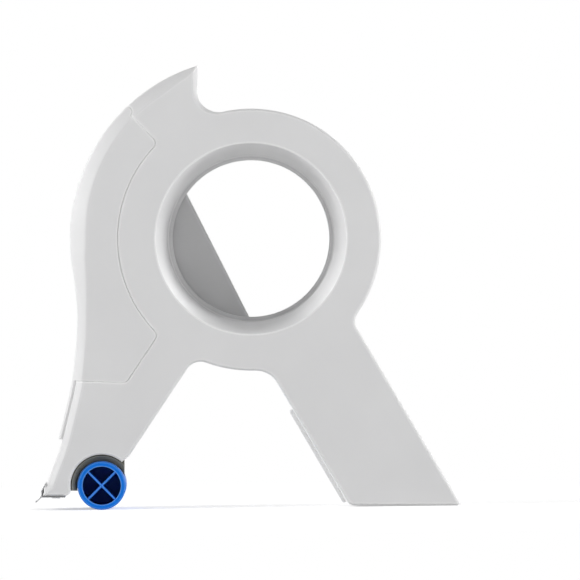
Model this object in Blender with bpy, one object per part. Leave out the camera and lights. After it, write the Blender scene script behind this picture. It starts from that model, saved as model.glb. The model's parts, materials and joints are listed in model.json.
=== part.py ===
"""Masking tape dispenser, held like a planer and pulled along the surface.

The design frame has its origin on the hub's axis, at the outer face of the side plate: +X runs
from the cutter towards the handle, +Y runs in from the side plate to the far side, and +Z is up.
Everything hangs on one empty, which then sets the tool down on its roller and its handle.
Lengths are in metres and angles in degrees.
"""

from itertools import pairwise
from math import acos, asin, atan2, ceil, cos, degrees, pi, radians, sin, sqrt, tan

import bmesh
import bpy
from mathutils import Matrix, Vector

# Roll of tape that the tool takes
CORE_BORE = 0.0762  # inside diameter of the roll's paper core
CORE_SLACK = 0.0004  # between the core and the wheel that carries it, all round
ROLL_RADIUS = 0.060  # largest roll

# Side plate and hub
PLATE = 0.0026  # thickness of the side plate
WALL = 0.0022  # thickness of the moulded walls
RING_WIDTH = 0.0131  # from the bore to the outside of the ring round it
HUB_ROOT_WALL = 0.0005  # between the bore and the hub's outside, where both are widest
BORE_ROUND = 0.0005  # rounded edge of the bore
BORE_TAPER = 0.0040  # how much narrower the bore is at the lip
SHOULDER = 0.0048  # width of the shoulder round the hub's root
SHOULDER_HEIGHT = 0.0016
LIP_SEAT = 0.0007  # step in the bore that the lip's skirt sits behind
HUB_WALL = 0.0013  # wall of the hub at the lip's skirt
SKIRT = 0.0042  # length of the lip's skirt
EDGE_ROUND = 0.0008  # rounding of the plate's free edges
CRISP_ROUND = 0.0004  # rounding of the edges that stay crisp

# Core wheel
WHEEL_WALL = 0.0011
WHEEL_FLANGE = 0.0036  # how far the near flange stands out past the barrel
WHEEL_FLANGE_THICK = 0.0012
WHEEL_WEB = 0.0018  # far web of the wheel, which runs on the hub's end
WASHER_THICK = 0.0008
CORE_RIB = 0.0003  # height of the ribs that hold the core
CORE_RIB_WIDTH = 0.0016
CORE_RIBS = 6

# Lip at the far end of the hub
LIP_THICK = 0.0017
LIP_COVER = 0.0011  # how far the lip reaches over the wheel's web
LIP_BORE_WALL = 0.0017
LIP_BEAD = 0.0005  # bead round the lip's far edge, inside the bore

# Rim that guards the roll
ROLL_ROOM = 0.0082  # from the largest roll to the outside of the rim
HORN_X = -0.0202  # right edge of the horn
HORN_ROUND = 0.0019
TIP_TRIM = 0.0007  # the front curve runs on this far below the tip's underside
RIM_ROUND = 0.0068  # rounding of the rim at its fullest, level with the hub
FRAME_DEPTH = 0.054  # depth of the frame's guard wall
LEG_REACH = 0.0338  # the lowest point of the roller lies this far outside the rim's arc

# Leg, tip and roller
LEG_INSET = 0.0016  # the leg's rim lies this far behind the cover's
LEG_ROUND = 0.0029
TIP_LIFT = 0.0053  # underside of the tip above the lowest point of the roller
TIP_LENGTH = 0.0083  # flat underside of the tip
TIP_HEEL = 0.0022  # from the flat underside of the tip to the cut-out
TIP_ROUND = 0.0022
ROLLER_RADIUS = 0.0091
ROLLER_WALL = 0.0019
ROLLER_NEAR = 0.0012  # near end of the roller, from the outer face
ROLLER_END_GAP = 0.0023  # from the roller's far end to the end of the guard wall
ROLLER_WEB = 0.001  # between the pockets at the near end and the axle's bore
ROLLER_RIB = 0.0008
RECESS_RADIUS = 0.01166  # cut-out over the roller
RECESS_START = 182.0
RECESS_END = 50.0
LEG_SLOPE = 56.36  # slope of the leg's inner edge
LEG_FOOT_BACK = 0.0103  # lower end of that edge, from the roller's axis
LEG_FOOT_RISE = 0.0111
LEG_POST_INSET = 0.0061  # from the leg's inner edge to the posts
TIP_POST_INSET = 0.0037  # from the leg's rim to the post over the tip
TIP_POST_RISE = 0.0099  # from the tip's underside up to that post
CROTCH_ROUND = 0.006
AXLE_RADIUS = 0.002
AXLE_REACH = 0.0275  # how far the axle reaches into the roller
AXLE_HEAD = 0.0032
AXLE_HEAD_THICK = 0.0012
ROLLER_BOSS_WALL = 0.0018
SNAP_RING_WIRE = 0.0007
SNAP_RING_PLACE = 0.008  # from the axle's bore end to the ring
SNAP_RING_OPENING = 30.0
ROLLER_RIB_ANGLES = (45.0, 135.0)
CHEEK = 0.0025  # thickness of the far cheek
CHEEK_LOBE = 0.0072  # radius of the cheek round the axle
CHEEK_LOBE_START = 232.0
CHEEK_LOBE_END = 380.0
CHEEK_TOP_ROUND = 0.0036
CHEEK_SETBACK = 0.0032  # from the lower seam to the top of the cheek
CHEEK_TOP_INSET = 0.0015

# Dark liner over the roller
GUARD_LIP_NEAR = 0.0005  # where the liner starts, from the outer face
GUARD_DEPTH = 0.0030
GUARD_FLANGE = 0.0016
GUARD_FLANGE_THICK = 0.0012
GUARD_BACK = 0.0086  # from the roller's axis to the liner's back end
GUARD_FOOT = 0.0018  # how far its front end reaches below the axis
GUARD_START = 10.0  # of the ring that the liner is cut from
GUARD_END = 205.0

# Handle
HANDLE_ANGLE = 59.55  # slope of the handle
HANDLE_WIDTH = 0.0363
HANDLE_OFFSET = 0.01733  # from the hub's axis to the handle's back edge
HEEL_LIFT = 0.0017  # foot of the handle above the lowest point of the roller, before it is stood up
HANDLE_DEPTH = 0.030
HANDLE_SPLIT = 0.015  # where the two halves meet
HANDLE_CLEARANCE = 0.002  # from the largest roll to the hollow part of the handle
HANDLE_FOOT_ROUND = 0.0034
HANDLE_HEEL_ROUND = 0.0009
NECK_ROUND = 0.005
THROAT_ROUND = 0.0095
BODY_MARGIN = 0.0007  # the underside of the body lies this far outside the ring
GRIP_PROUD = 0.0013
GRIP_WIDTH = 0.018
GRIP_ROUND = 0.0010
GRIP_SEAT = 0.0003  # from the handle to the strip
PALM_ROUND = 0.0032  # rounding of the handle's far edge
GRIP_TOP_share = 0.03
GRIP_FOOT_share = 0.96

# Guard cover
SEAM_MARGIN = 0.0013  # the cover's inner seam lies this far outside the ring
SEAM_TOP = 134.3  # angle of the upper seam about the hub's axis
SEAM_ROUND = 0.0025
SEAM_FOOT_INSET = 0.0212  # inner end of the lower seam, from the rim's foremost point
SEAM_FOOT_LIFT = 0.0139  # the lower seam above the level of the rim's arc
SEAM_RISE = 0.0012  # how much higher the lower seam is at the rim
SEAM_GAP = 0.00035
OPENING_REACH = 7.0  # the side plate's rim runs on this far past the upper seam before it is cut
HINGE_BARREL = 0.0016
HINGE_PIN = 0.0007
HINGE_PIN_FIT = 0.0002
HINGE_WEB = 0.005  # length of the web that joins a knuckle to its wall
KNUCKLE_START = 0.009
KNUCKLE = 0.008  # length of each of the frame's knuckles
KNUCKLE_END_GAP = 0.002  # from the last knuckle to the end of the guard wall
TONGUE_LIFT = 0.0213  # foot of the tongue above the underside of the tip
TONGUE_EDGE = 0.006  # from each side of the cover to the tongue
TONGUE_GAP = 0.0003
COVER_STEP = 0.0028  # the cover's wall is this much deeper than the frame's
FAR_PLATE = 0.0022
FAR_PLATE_ROUND = 0.0012
FAR_EDGE_X = -0.0254  # a point on the far plate's straight edge
FAR_EDGE_Z = 0.0185
FAR_EDGE_ANGLE = 63.1
FAR_TOP_Z = 0.0400
FAR_ROUND = 0.008
FAR_MARGIN = 0.0035  # the far plate lies this far inside the side plate's outline
COVER_BOSS_ANGLES = (146.0, 176.0)
COVER_BOSS_RISE = 0.0103  # the lowest boss above the lower seam
COVER_BOSS_LENGTH = 0.012

# Blade
BLADE_SHEET = 0.00045
BLADE_START = 0.002
BLADE_END_GAP = 0.001  # from the blade's far end to the end of the guard wall
BLADE_FLANGE = 0.0050  # height of the front flange
BLADE_FLANGE_LEAN = 0.0016
BLADE_REACH = 0.0030  # how far the teeth reach past the fold
BLADE_SLOPE = 42.0  # slope of the teeth
TOOTH_PITCH = 0.0017
TOOTH_DEPTH = 0.0010
BLADE_SCREW_ENDS = 0.010  # from each end of the blade to its screw

# Fasteners
SCREW_RADIUS = 0.0013
SCREW_HEAD = 0.0024
SCREW_HEAD_THICK = 0.0012
SCREW_LENGTH = 0.009
SCREW_FIT = 0.0002
BOSS_WALL = 0.0013
HEAD_SINK = 0.0013  # depth of the seat for a sunk head
SMALL_SCREW_RADIUS = 0.0009
SMALL_SCREW_HEAD = 0.0016
SMALL_SCREW_HEAD_THICK = 0.0007

GAP = 0.0003  # between pieces that seat on each other
OVERRUN = 0.004  # cutters run past what they cut by this much
BITE = 0.0008  # shapes that are joined run into each other by this much
STEP_IN = 0.0001  # a joined wall stands this far inside the edge that it follows

# Shares
WEB_share = 0.7  # a knuckle's web against its barrel
POINT_share = 0.5  # a screw's point against its shank
CROWN_share = 0.6
ROOT_share = 0.68  # the horn's hollow back starts this far up from the notch to the roll's edge
BEND_share = 0.12  # of the blade flange's lean, at half its height
RIVET_share = 0.58  # how far along the tip's underside the blade's rivets sit
BACKING_share = 0.4  # how far the cover's stock reaches in behind the seam before it is cut
NOTCH_share = 0.7208  # hollow between the horn and the ring, of the room between the ring and the roll

# Facets
ARC_STEP = 7.0
HOLLOW_STEP = 15.0  # for the hollow corners between the ring and the limbs
BARREL_STEP = 30.0  # for the hinge's barrels and the snap ring
ROUND_STEPS = 3
FINE_STEPS = 56
ROLLER_STEPS = 36
COARSE_STEPS = 14
WIRE_STEPS = 6
CURVE_STEPS = 3
SHARP_ANGLE = 35.0  # edges that turn more than this are shaded sharp
BACKTRACK = 150.0  # an outline that turns by more than this has run back on itself

# The front curve below the hub, from the rim's arc to the tip, as shares of RIM_RADIUS and LEG_DEPTH
FRONT_shares = (
    (-0.9956, -0.072),
    (-0.9765, -0.159),
    (-0.9620, -0.257),
    (-0.9604, -0.339),
    (-0.9707, -0.449),
    (-0.9927, -0.565),
    (-1.0308, -0.681),
    (-1.0748, -0.800),
    (-1.1380, -0.919),
    (-1.1770, -1.000),
)
# Rounding of the rim by height: height as a share of RIM_RADIUS, rounding as a share of RIM_ROUND
RIM_ROUND_shares = (
    (-0.80, 0.60),
    (-0.58, 0.57),
    (-0.40, 0.57),
    (-0.22, 0.76),
    (0.00, 1.00),
    (0.30, 0.88),
    (0.66, 0.72),
    (0.86, 0.70),
    (0.945, 0.40),
    (0.96, 0.28),
)
# Posts along the leg's inner edge, as shares of the way down from the top of the cheek
LEG_POST_shares = (0.515, 0.123)
# Bosses in the handle, across it and along it
HANDLE_BOSS_shares = ((0.5, 0.30), (0.24, 0.80), (0.76, 0.80))

WHEEL_RADIUS = CORE_BORE / 2 - CORE_SLACK
WHEEL_BORE = WHEEL_RADIUS - WHEEL_WALL
HUB_ROOT_RADIUS = WHEEL_BORE - GAP
BORE_RADIUS = HUB_ROOT_RADIUS - HUB_ROOT_WALL
RING_RADIUS = BORE_RADIUS + RING_WIDTH
NOTCH_ROUND = (ROLL_RADIUS - RING_RADIUS) * NOTCH_share
RIM_RADIUS = ROLL_RADIUS + ROLL_ROOM
GROUND_DEPTH = RIM_RADIUS + LEG_REACH
TIP_DEPTH = GROUND_DEPTH - TIP_LIFT
LEG_DEPTH = TIP_DEPTH + TIP_TRIM
ROLLER_Z = ROLLER_RADIUS - GROUND_DEPTH
ROLLER_LENGTH = FRAME_DEPTH - ROLLER_NEAR - ROLLER_END_GAP
ROLLER_POCKET = ROLLER_LENGTH - AXLE_REACH - ROLLER_WEB
LEG_FOOT_Z = ROLLER_Z + LEG_FOOT_RISE
SEAM_FOOT_X = SEAM_FOOT_INSET - RIM_RADIUS
SEAM_FOOT_Z = SEAM_FOOT_LIFT - RIM_RADIUS
CHEEK_TOP_Z = SEAM_FOOT_Z - CHEEK_SETBACK
HANDLE_FOOT_Z = HEEL_LIFT - GROUND_DEPTH
BODY_RADIUS = RING_RADIUS + BODY_MARGIN
SEAM_RADIUS = RING_RADIUS + SEAM_MARGIN
KNUCKLE_END = FRAME_DEPTH - KNUCKLE_END_GAP
TONGUE_FOOT_Z = TONGUE_LIFT - TIP_DEPTH
COVER_DEPTH = FRAME_DEPTH + COVER_STEP
COVER_BOSS_LOW_Z = SEAM_FOOT_Z + COVER_BOSS_RISE
BLADE_LENGTH = FRAME_DEPTH - BLADE_START - BLADE_END_GAP
BORE_LIP_DEPTH = FRAME_DEPTH - SKIRT + GAP
HUB_END = FRAME_DEPTH + GAP
BORE_LIP_RADIUS = BORE_RADIUS - BORE_TAPER
HUB_END_RADIUS = BORE_LIP_RADIUS + LIP_SEAT + HUB_WALL
SHOULDER_RADIUS = HUB_ROOT_RADIUS + SHOULDER
SHOULDER_Y = PLATE + SHOULDER_HEIGHT
WHEEL_NEAR = SHOULDER_Y + GAP + WASHER_THICK + GAP
WHEEL_FAR = HUB_END - GAP
CHEEK_NEAR = FRAME_DEPTH + GAP
CHEEK_FAR = CHEEK_NEAR + CHEEK
FAR_PLATE_NEAR = COVER_DEPTH + GAP
FAR_PLATE_FAR = FAR_PLATE_NEAR + FAR_PLATE
HINGE_RADIUS = RIM_RADIUS - HINGE_BARREL
HANDLE_START = ROLL_RADIUS + HANDLE_CLEARANCE


def polar(radius, angle, centre=(0.0, 0.0)):
    """The point at this radius and angle about a centre, as (x, z)."""
    return (centre[0] + radius * cos(radians(angle)), centre[1] + radius * sin(radians(angle)))


def arc(radius, start, end, centre=(0.0, 0.0), step=ARC_STEP):
    """Points along an arc, its two ends included."""
    count = max(1, ceil(abs(end - start) / step))
    return [polar(radius, start + (end - start) * i / count, centre) for i in range(count + 1)]


def circle(radius, centre=(0.0, 0.0), steps=COARSE_STEPS):
    return [polar(radius, 360 * i / steps, centre) for i in range(steps)]


def smooth(points, steps=CURVE_STEPS):
    """A Catmull-Rom curve through the points."""
    ends = [points[0], *points, points[-1]]
    out = []
    for a, b, c, d in zip(ends, ends[1:], ends[2:], ends[3:]):
        for i in range(steps):
            t = i / steps
            point = Vector(b) * 2 + (Vector(c) - Vector(a)) * t
            point += (Vector(a) * 2 - Vector(b) * 5 + Vector(c) * 4 - Vector(d)) * t**2
            point += (Vector(b) * 3 - Vector(a) - Vector(c) * 3 + Vector(d)) * t**3
            out.append(tuple(point / 2))
    return [*out, points[-1]]


def blended(before, corner, after, radius, steps=ROUND_STEPS):
    """The arc that rounds a corner between two neighbouring points."""
    here = Vector(corner)
    back = (Vector(before) - here).normalized()
    on = (Vector(after) - here).normalized()
    half = back.angle(on) / 2
    reach = radius / tan(half)
    centre = here + (back + on).normalized() * radius / sin(half)
    first = here + back * reach - centre
    last = here + on * reach - centre
    turn = first.angle_signed(last)
    spots = []
    for i in range(steps + 1):
        spots.append(tuple(centre + Matrix.Rotation(-turn * i / steps, 2) @ first))
    return spots


def inset(outline, distance):
    """The outline moved inwards, by one distance or by one for each point; it runs anticlockwise."""
    distances = distance if isinstance(distance, (list, tuple)) else [distance] * len(outline)
    moved = []
    for i, here in enumerate(outline):
        before = Vector(here) - Vector(outline[i - 1])
        after = Vector(outline[(i + 1) % len(outline)]) - Vector(here)
        first = Vector((-before.y, before.x)).normalized()
        second = Vector((-after.y, after.x)).normalized()
        mitre = (first + second) / (1 + first.dot(second))
        moved.append(tuple(Vector(here) + mitre * distances[i]))
    return moved


def onward(outline):
    """The outline without the points that a rounded corner runs back past."""
    points = list(outline)
    i = 0
    while i < len(points):
        before = Vector(points[i]) - Vector(points[i - 1])
        after = Vector(points[(i + 1) % len(points)]) - Vector(points[i])
        if before.angle(after, 0.0) > radians(BACKTRACK):
            points.pop(i)
            i = max(i - 2, 0)
        else:
            i += 1
    return points


def clear_of(points, corner, distance):
    """The points that are further than this from a corner."""
    return [point for point in points if (Vector(point) - Vector(corner)).length > distance]


def line_hit(point, angle, radius):
    """Where the line through a point at this angle leaves a circle about the hub's axis."""
    way = Vector(polar(1, angle))
    along = -Vector(point).dot(way)
    miss = (Vector(point) + way * along).length
    return tuple(Vector(point) + way * (along + sqrt(radius**2 - miss**2)))


def at_depth(outline, y):
    return [(x, y, z) for x, z in outline]


def skin(bm, rings, closed=False):
    """Faces over rings of equal length; the ends are capped unless the rings close on themselves."""
    rows = [[bm.verts.new(point) for point in ring] for ring in rings]
    if not closed:
        bm.faces.new(rows[0])
        bm.faces.new(reversed(rows[-1]))
    for near, far in pairwise([*rows, rows[0]] if closed else rows):
        for i in range(len(near)):
            bm.faces.new((near[i - 1], near[i], far[i], far[i - 1]))


def prism(bm, outline, near, far):
    skin(bm, [at_depth(outline, near), at_depth(outline, far)])


def rounded_prism(bm, outline, near, far, near_round=0.0, far_round=0.0):
    """A prism with its near and far edges rounded; near_round may hold one radius for each point."""
    rings = []
    if near_round:
        radii = near_round if isinstance(near_round, list) else [near_round] * len(outline)
        for i in range(ROUND_STEPS):
            turn = pi / 2 * i / ROUND_STEPS
            points = inset(outline, [r * (1 - sin(turn)) for r in radii])
            rings.append([(x, near + r * (1 - cos(turn)), z) for (x, z), r in zip(points, radii)])
        rings.append([(x, near + r, z) for (x, z), r in zip(outline, radii)])
    else:
        rings.append(at_depth(outline, near))
    if far_round:
        for i in range(ROUND_STEPS + 1):
            turn = pi / 2 * i / ROUND_STEPS
            points = inset(outline, far_round * (1 - cos(turn)))
            rings.append(at_depth(points, far - far_round * (1 - sin(turn))))
    else:
        rings.append(at_depth(outline, far))
    skin(bm, rings)


def turned(bm, profile, centre=(0.0, 0.0), steps=COARSE_STEPS, closed=False):
    """A solid turned about an axis along Y from (radius, y) points; closed for one with a bore."""
    skin(bm, [[(x, y, z) for x, z in circle(radius, centre, steps)] for radius, y in profile], closed)


def post(bm, place, radius, near, far, steps=COARSE_STEPS):
    prism(bm, circle(radius, place, steps), near, far)


def shape(name, *makers):
    """A mesh object made by one or more functions that add to a bmesh."""
    bm = bmesh.new()
    for maker in makers:
        maker(bm)
    bmesh.ops.recalc_face_normals(bm, faces=bm.faces)
    mesh = bpy.data.meshes.new(name)
    bm.to_mesh(mesh)
    bm.free()
    mesh.shade_smooth()
    mesh.set_sharp_from_angle(angle=radians(SHARP_ANGLE))
    obj = bpy.data.objects.new(name, mesh)
    bpy.context.scene.collection.objects.link(obj)
    return obj


def combine(target, operation, name, *makers):
    """Cuts, joins or intersects the target with a hidden tool body."""
    tool = shape(name, *makers)
    tool.hide_render = True
    tool.display_type = "WIRE"
    modifier = target.modifiers.new(name, "BOOLEAN")
    modifier.operation = operation
    modifier.object = tool
    modifier.solver = "EXACT"
    return tool


def material(name, colour, roughness, metallic=0.0):
    made = bpy.data.materials.new(name)
    made.use_nodes = True
    shader = made.node_tree.nodes["Principled BSDF"]
    shader.inputs["Base Color"].default_value = (*colour, 1.0)
    shader.inputs["Roughness"].default_value = roughness
    shader.inputs["Metallic"].default_value = metallic
    return made


def cut_below(points, level):
    """The part of a falling line of points above a level, ending on it."""
    kept = [point for point in points if point[1] > level]
    here = kept[-1]
    after = points[len(kept)]
    share = (level - here[1]) / (after[1] - here[1])
    return [*kept, (here[0] + share * (after[0] - here[0]), level)]


def cut_above(points, level):
    """The part of a falling line of points below a level, starting on it."""
    return [cut_below(points, level)[-1], *[point for point in points if point[1] < level]]


def front_curve():
    """The outer curve of the front below the hub, carried on down to the tip."""
    return smooth([(x * RIM_RADIUS, z * LEG_DEPTH) for x, z in FRONT_shares])


def leg_rim():
    """The leg's own front edge, from the lower seam to the tip."""
    falling = cut_above(inset(front_curve(), LEG_INSET)[1:-1], SEAM_FOOT_Z + OVERRUN)
    last = Vector(falling[-1]) + (Vector(falling[-1]) - Vector(falling[-2])) * CURVE_STEPS
    whole = cut_below([*falling, tuple(last)], -TIP_DEPTH)
    return [*clear_of(whole, whole[-1], 2 * WALL), whole[-1]]


# Places that several pieces share
BACK_NORMAL = 90.0 - HANDLE_ANGLE
BACK = Vector(polar(1, BACK_NORMAL))
DOWN_HANDLE = Vector(polar(1, -HANDLE_ANGLE))
TIP_X = leg_rim()[-1][0]
TIP_END = TIP_X + TIP_LENGTH
ROLLER_X = TIP_END + TIP_HEEL + RECESS_RADIUS
LEG_FOOT_X = ROLLER_X + LEG_FOOT_BACK
LEG_NORMAL = LEG_SLOPE - 90.0
LEG_OFFSET = Vector((LEG_FOOT_X, LEG_FOOT_Z)).dot(Vector(polar(1, LEG_NORMAL)))
ROLLER_AXIS = (ROLLER_X, ROLLER_Z)
HINGE = polar(HINGE_RADIUS, SEAM_TOP)


def touching(radius, normal, offset, side):
    """The point this far from the hub's axis whose distance along a normal is the offset."""
    return polar(radius, normal + side * degrees(acos(offset / radius)))


def bearing(point):
    return degrees(atan2(point[1], point[0]))


def hollow_corner(body, normal, offset, side, radius):
    """The hollow arc between a round body and a straight edge, from the body to the edge."""
    centre = touching(body + radius, normal, offset + radius, side)
    to_body = bearing(centre) + 180.0
    to_edge = normal + 180.0
    return arc(radius, to_body, to_body + (to_edge - to_body + 180.0) % 360.0 - 180.0, centre, HOLLOW_STEP)


def rim_round(point):
    """How far the rim is rounded at this height."""
    share = point[1] / RIM_RADIUS
    table = RIM_ROUND_shares
    if share <= table[0][0]:
        return table[0][1] * RIM_ROUND
    for (low, first), (high, last) in pairwise(table):
        if share <= high:
            return (first + (last - first) * (share - low) / (high - low)) * RIM_ROUND
    return table[-1][1] * RIM_ROUND


def handle_point(across, along):
    """A place on the handle: across from the grip edge to the back, along from the roll to the foot."""
    start = BACK * (HANDLE_OFFSET - HANDLE_WIDTH * (1 - across))
    foot = (start.y - HANDLE_FOOT_Z) / sin(radians(HANDLE_ANGLE))
    return tuple(start + DOWN_HANDLE * (HANDLE_START + (foot - HANDLE_START) * along))


def frame_edges():
    """The side plate's outline from the handle's heel round to its toe, in stretches.

    Each stretch is (points, rounding of the edge, whether a wall stands behind it).
    """
    tip_angle = degrees(acos(HORN_X / RIM_RADIUS))
    neck = hollow_corner(RING_RADIUS, BACK_NORMAL, HANDLE_OFFSET, -1, NECK_ROUND)
    notch = hollow_corner(RING_RADIUS, 0.0, HORN_X, 1, NOTCH_ROUND)
    crotch = hollow_corner(BODY_RADIUS, LEG_NORMAL, LEG_OFFSET, -1, CROTCH_ROUND)
    throat = hollow_corner(
        BODY_RADIUS, BACK_NORMAL + 180.0, HANDLE_WIDTH - HANDLE_OFFSET, 1, THROAT_ROUND
    )
    horn_foot = sqrt((ROLL_RADIUS + GAP) ** 2 - HORN_X**2)
    horn_root = notch[-1][1] + (horn_foot - notch[-1][1]) * ROOT_share
    rim = leg_rim()
    horn = polar(RIM_RADIUS, tip_angle)
    heel = handle_point(1, 1)
    toe = handle_point(0, 1)
    recess_foot = (ROLLER_X - RECESS_RADIUS, -TIP_DEPTH)
    under_tip = blended(rim[-1], recess_foot, (recess_foot[0], ROLLER_Z), TIP_ROUND)
    return [
        (blended(toe, heel, neck[-1], HANDLE_HEEL_ROUND), EDGE_ROUND, False),
        (neck[::-1], EDGE_ROUND, False),
        (arc(RING_RADIUS, bearing(neck[0]), bearing(notch[0]))[1:-1], EDGE_ROUND, False),
        (notch[:2], EDGE_ROUND, False),
        (notch[2:], HORN_ROUND, False),
        ([(HORN_X, horn_root)], HORN_ROUND, False),
        ([(HORN_X, horn_foot)], HORN_ROUND, True),
        ([horn], HORN_ROUND, True),
        (clear_of(arc(RIM_RADIUS, tip_angle, SEAM_TOP + OPENING_REACH), horn, 2 * WALL), rim_round, True),
        (rim[:-1], LEG_ROUND, True),
        ([(TIP_X, -TIP_DEPTH)], EDGE_ROUND, True),
        ([(TIP_END - EDGE_ROUND, -TIP_DEPTH)], EDGE_ROUND, True),
        (under_tip, CRISP_ROUND, False),
        (arc(RECESS_RADIUS, RECESS_START, RECESS_END, ROLLER_AXIS), CRISP_ROUND, False),
        ([(LEG_FOOT_X, LEG_FOOT_Z)], EDGE_ROUND, False),
        (crotch[::-1], EDGE_ROUND, False),
        (arc(BODY_RADIUS, bearing(crotch[0]), bearing(throat[0]))[1:-1], EDGE_ROUND, False),
        (throat, EDGE_ROUND, False),
        (blended(throat[-1], toe, heel, HANDLE_FOOT_ROUND), EDGE_ROUND, False),
    ]


def rounding_of(rule, point):
    return rule(point) if callable(rule) else rule


def moulding(bm, edges, depth):
    """The outer form of a moulded shell: rounded towards the side that the hand sees."""
    outline = [point for points, _, _ in edges for point in points]
    rounds = [rounding_of(rule, point) for points, rule, _ in edges for point in points]
    rounded_prism(bm, outline, 0.0, depth, rounds)


def moulding_inside(bm, edges, depth):
    """The hollow of the same shell, open where no wall stands behind the edge."""
    outline = [point for points, _, _ in edges for point in points]
    depths = [WALL if wall else -OVERRUN for points, _, wall in edges for _ in points]
    rounds = [
        max(rounding_of(rule, point) - WALL, CRISP_ROUND) for points, rule, _ in edges for point in points
    ]
    rounded_prism(bm, inset(outline, depths), PLATE, depth + OVERRUN, rounds)


def hub_tube(bm):
    """The tapered tube that carries the roll, with the shoulder at its root; its bore is cut later."""
    core = BORE_LIP_RADIUS - WALL
    turned(bm, [
        (core, PLATE - BITE), (SHOULDER_RADIUS, PLATE - BITE), (SHOULDER_RADIUS, SHOULDER_Y),
        (HUB_ROOT_RADIUS, SHOULDER_Y), (HUB_ROOT_RADIUS, SHOULDER_Y + SHOULDER),
        (HUB_END_RADIUS, BORE_LIP_DEPTH), (HUB_END_RADIUS, HUB_END), (core, HUB_END),
    ], steps=FINE_STEPS, closed=True)


def hub_bore(bm):
    """The bore: a rounded mouth, a long taper and the step that the lip's skirt sits in."""
    mouth = []
    for i in range(ROUND_STEPS + 1):
        turn = pi / 2 * i / ROUND_STEPS
        mouth.append((BORE_RADIUS + BORE_ROUND * (1 - sin(turn)), BORE_ROUND * (1 - cos(turn))))
    seat = BORE_LIP_RADIUS + LIP_SEAT
    turned(bm, [
        (BORE_RADIUS + BORE_ROUND, -OVERRUN), *mouth, (BORE_LIP_RADIUS, BORE_LIP_DEPTH),
        (seat, BORE_LIP_DEPTH), (seat, HUB_END + OVERRUN),
    ], steps=FINE_STEPS)


def seam_outline():
    """The opening for the guard cover in the side plate, with the round seat of the hinge barrel."""
    outside = RIM_RADIUS + 2 * OVERRUN
    barrel = HINGE_BARREL + GAP
    foot = (SEAM_FOOT_X, SEAM_FOOT_Z)
    front = (-outside, SEAM_FOOT_Z + SEAM_RISE)
    low = line_hit(foot, LEG_SLOPE + 180.0, SEAM_RADIUS)
    low_angle = bearing(low) % 360.0
    bow = arc(SEAM_RADIUS, low_angle, SEAM_TOP)
    top = bow[-1]
    bulge = arc(barrel, SEAM_TOP - 180.0, SEAM_TOP, HINGE, BARREL_STEP)
    return onward([
        *blended(bow[-2], top, HINGE, SEAM_ROUND),
        *bulge,
        *arc(outside, SEAM_TOP, 180.0, step=HOLLOW_STEP),
        front,
        *blended(front, foot, low, SEAM_ROUND),
        *blended(foot, low, bow[1], SEAM_ROUND),
        *bow[1:-1],
    ])


def knuckle(bm, way, near, far):
    """A hinge knuckle with the web that runs from it into its wall."""
    along = Vector(polar(HINGE_WEB, way))
    across = Vector(polar(HINGE_BARREL * WEB_share, way + 90.0))
    spread = degrees(asin(WEB_share))
    start = Vector(HINGE)
    outline = arc(HINGE_BARREL, way + spread, way + 360.0 - spread, HINGE, BARREL_STEP)
    prism(bm, [*outline, tuple(start + along - across), tuple(start + along + across)], near, far)


def knuckle_ends():
    """Near and far end of the frame's two knuckles."""
    return ((KNUCKLE_START, KNUCKLE_START + KNUCKLE), (KNUCKLE_END - KNUCKLE, KNUCKLE_END))


def boss_radius():
    return SCREW_RADIUS + BOSS_WALL


def leg_post_places():
    """Two posts along the leg's inner edge and one behind its rim, over the tip."""
    heights = [CHEEK_TOP_Z + (LEG_FOOT_Z - CHEEK_TOP_Z) * share for share in LEG_POST_shares]
    edges = [LEG_FOOT_X + (z - LEG_FOOT_Z) / tan(radians(LEG_SLOPE)) for z in heights]
    rim_x, rim_z = cut_below(leg_rim(), TIP_POST_RISE - TIP_DEPTH)[-1]
    return [*[(x - LEG_POST_INSET, z) for x, z in zip(edges, heights)], (rim_x + TIP_POST_INSET, rim_z)]


def handle_outline(foot_round=HANDLE_FOOT_ROUND, heel_round=HANDLE_HEEL_ROUND):
    """The hollow part of the handle, clear of the roll, just inside the side plate's edge."""
    normal = BACK_NORMAL
    grip_side = bearing(touching(HANDLE_START, normal + 180.0, HANDLE_WIDTH - HANDLE_OFFSET, 1))
    back_side = bearing(touching(HANDLE_START, normal, HANDLE_OFFSET, -1))
    first, *bow, last = arc(HANDLE_START, back_side, grip_side)
    bow = [first, *clear_of(clear_of(bow, first, 2 * WALL), last, 2 * WALL), last]
    toe = handle_point(0, 1)
    heel = handle_point(1, 1)
    outline = [
        *bow,
        *(blended(bow[-1], toe, heel, foot_round) if foot_round else [toe]),
        *(blended(toe, heel, bow[0], heel_round) if heel_round else [heel]),
    ]
    return inset(outline, STEP_IN)


def handle_inside():
    """The inner face of the handle's wall, which keeps square corners."""
    return inset(handle_outline(0.0, 0.0), WALL)


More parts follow.
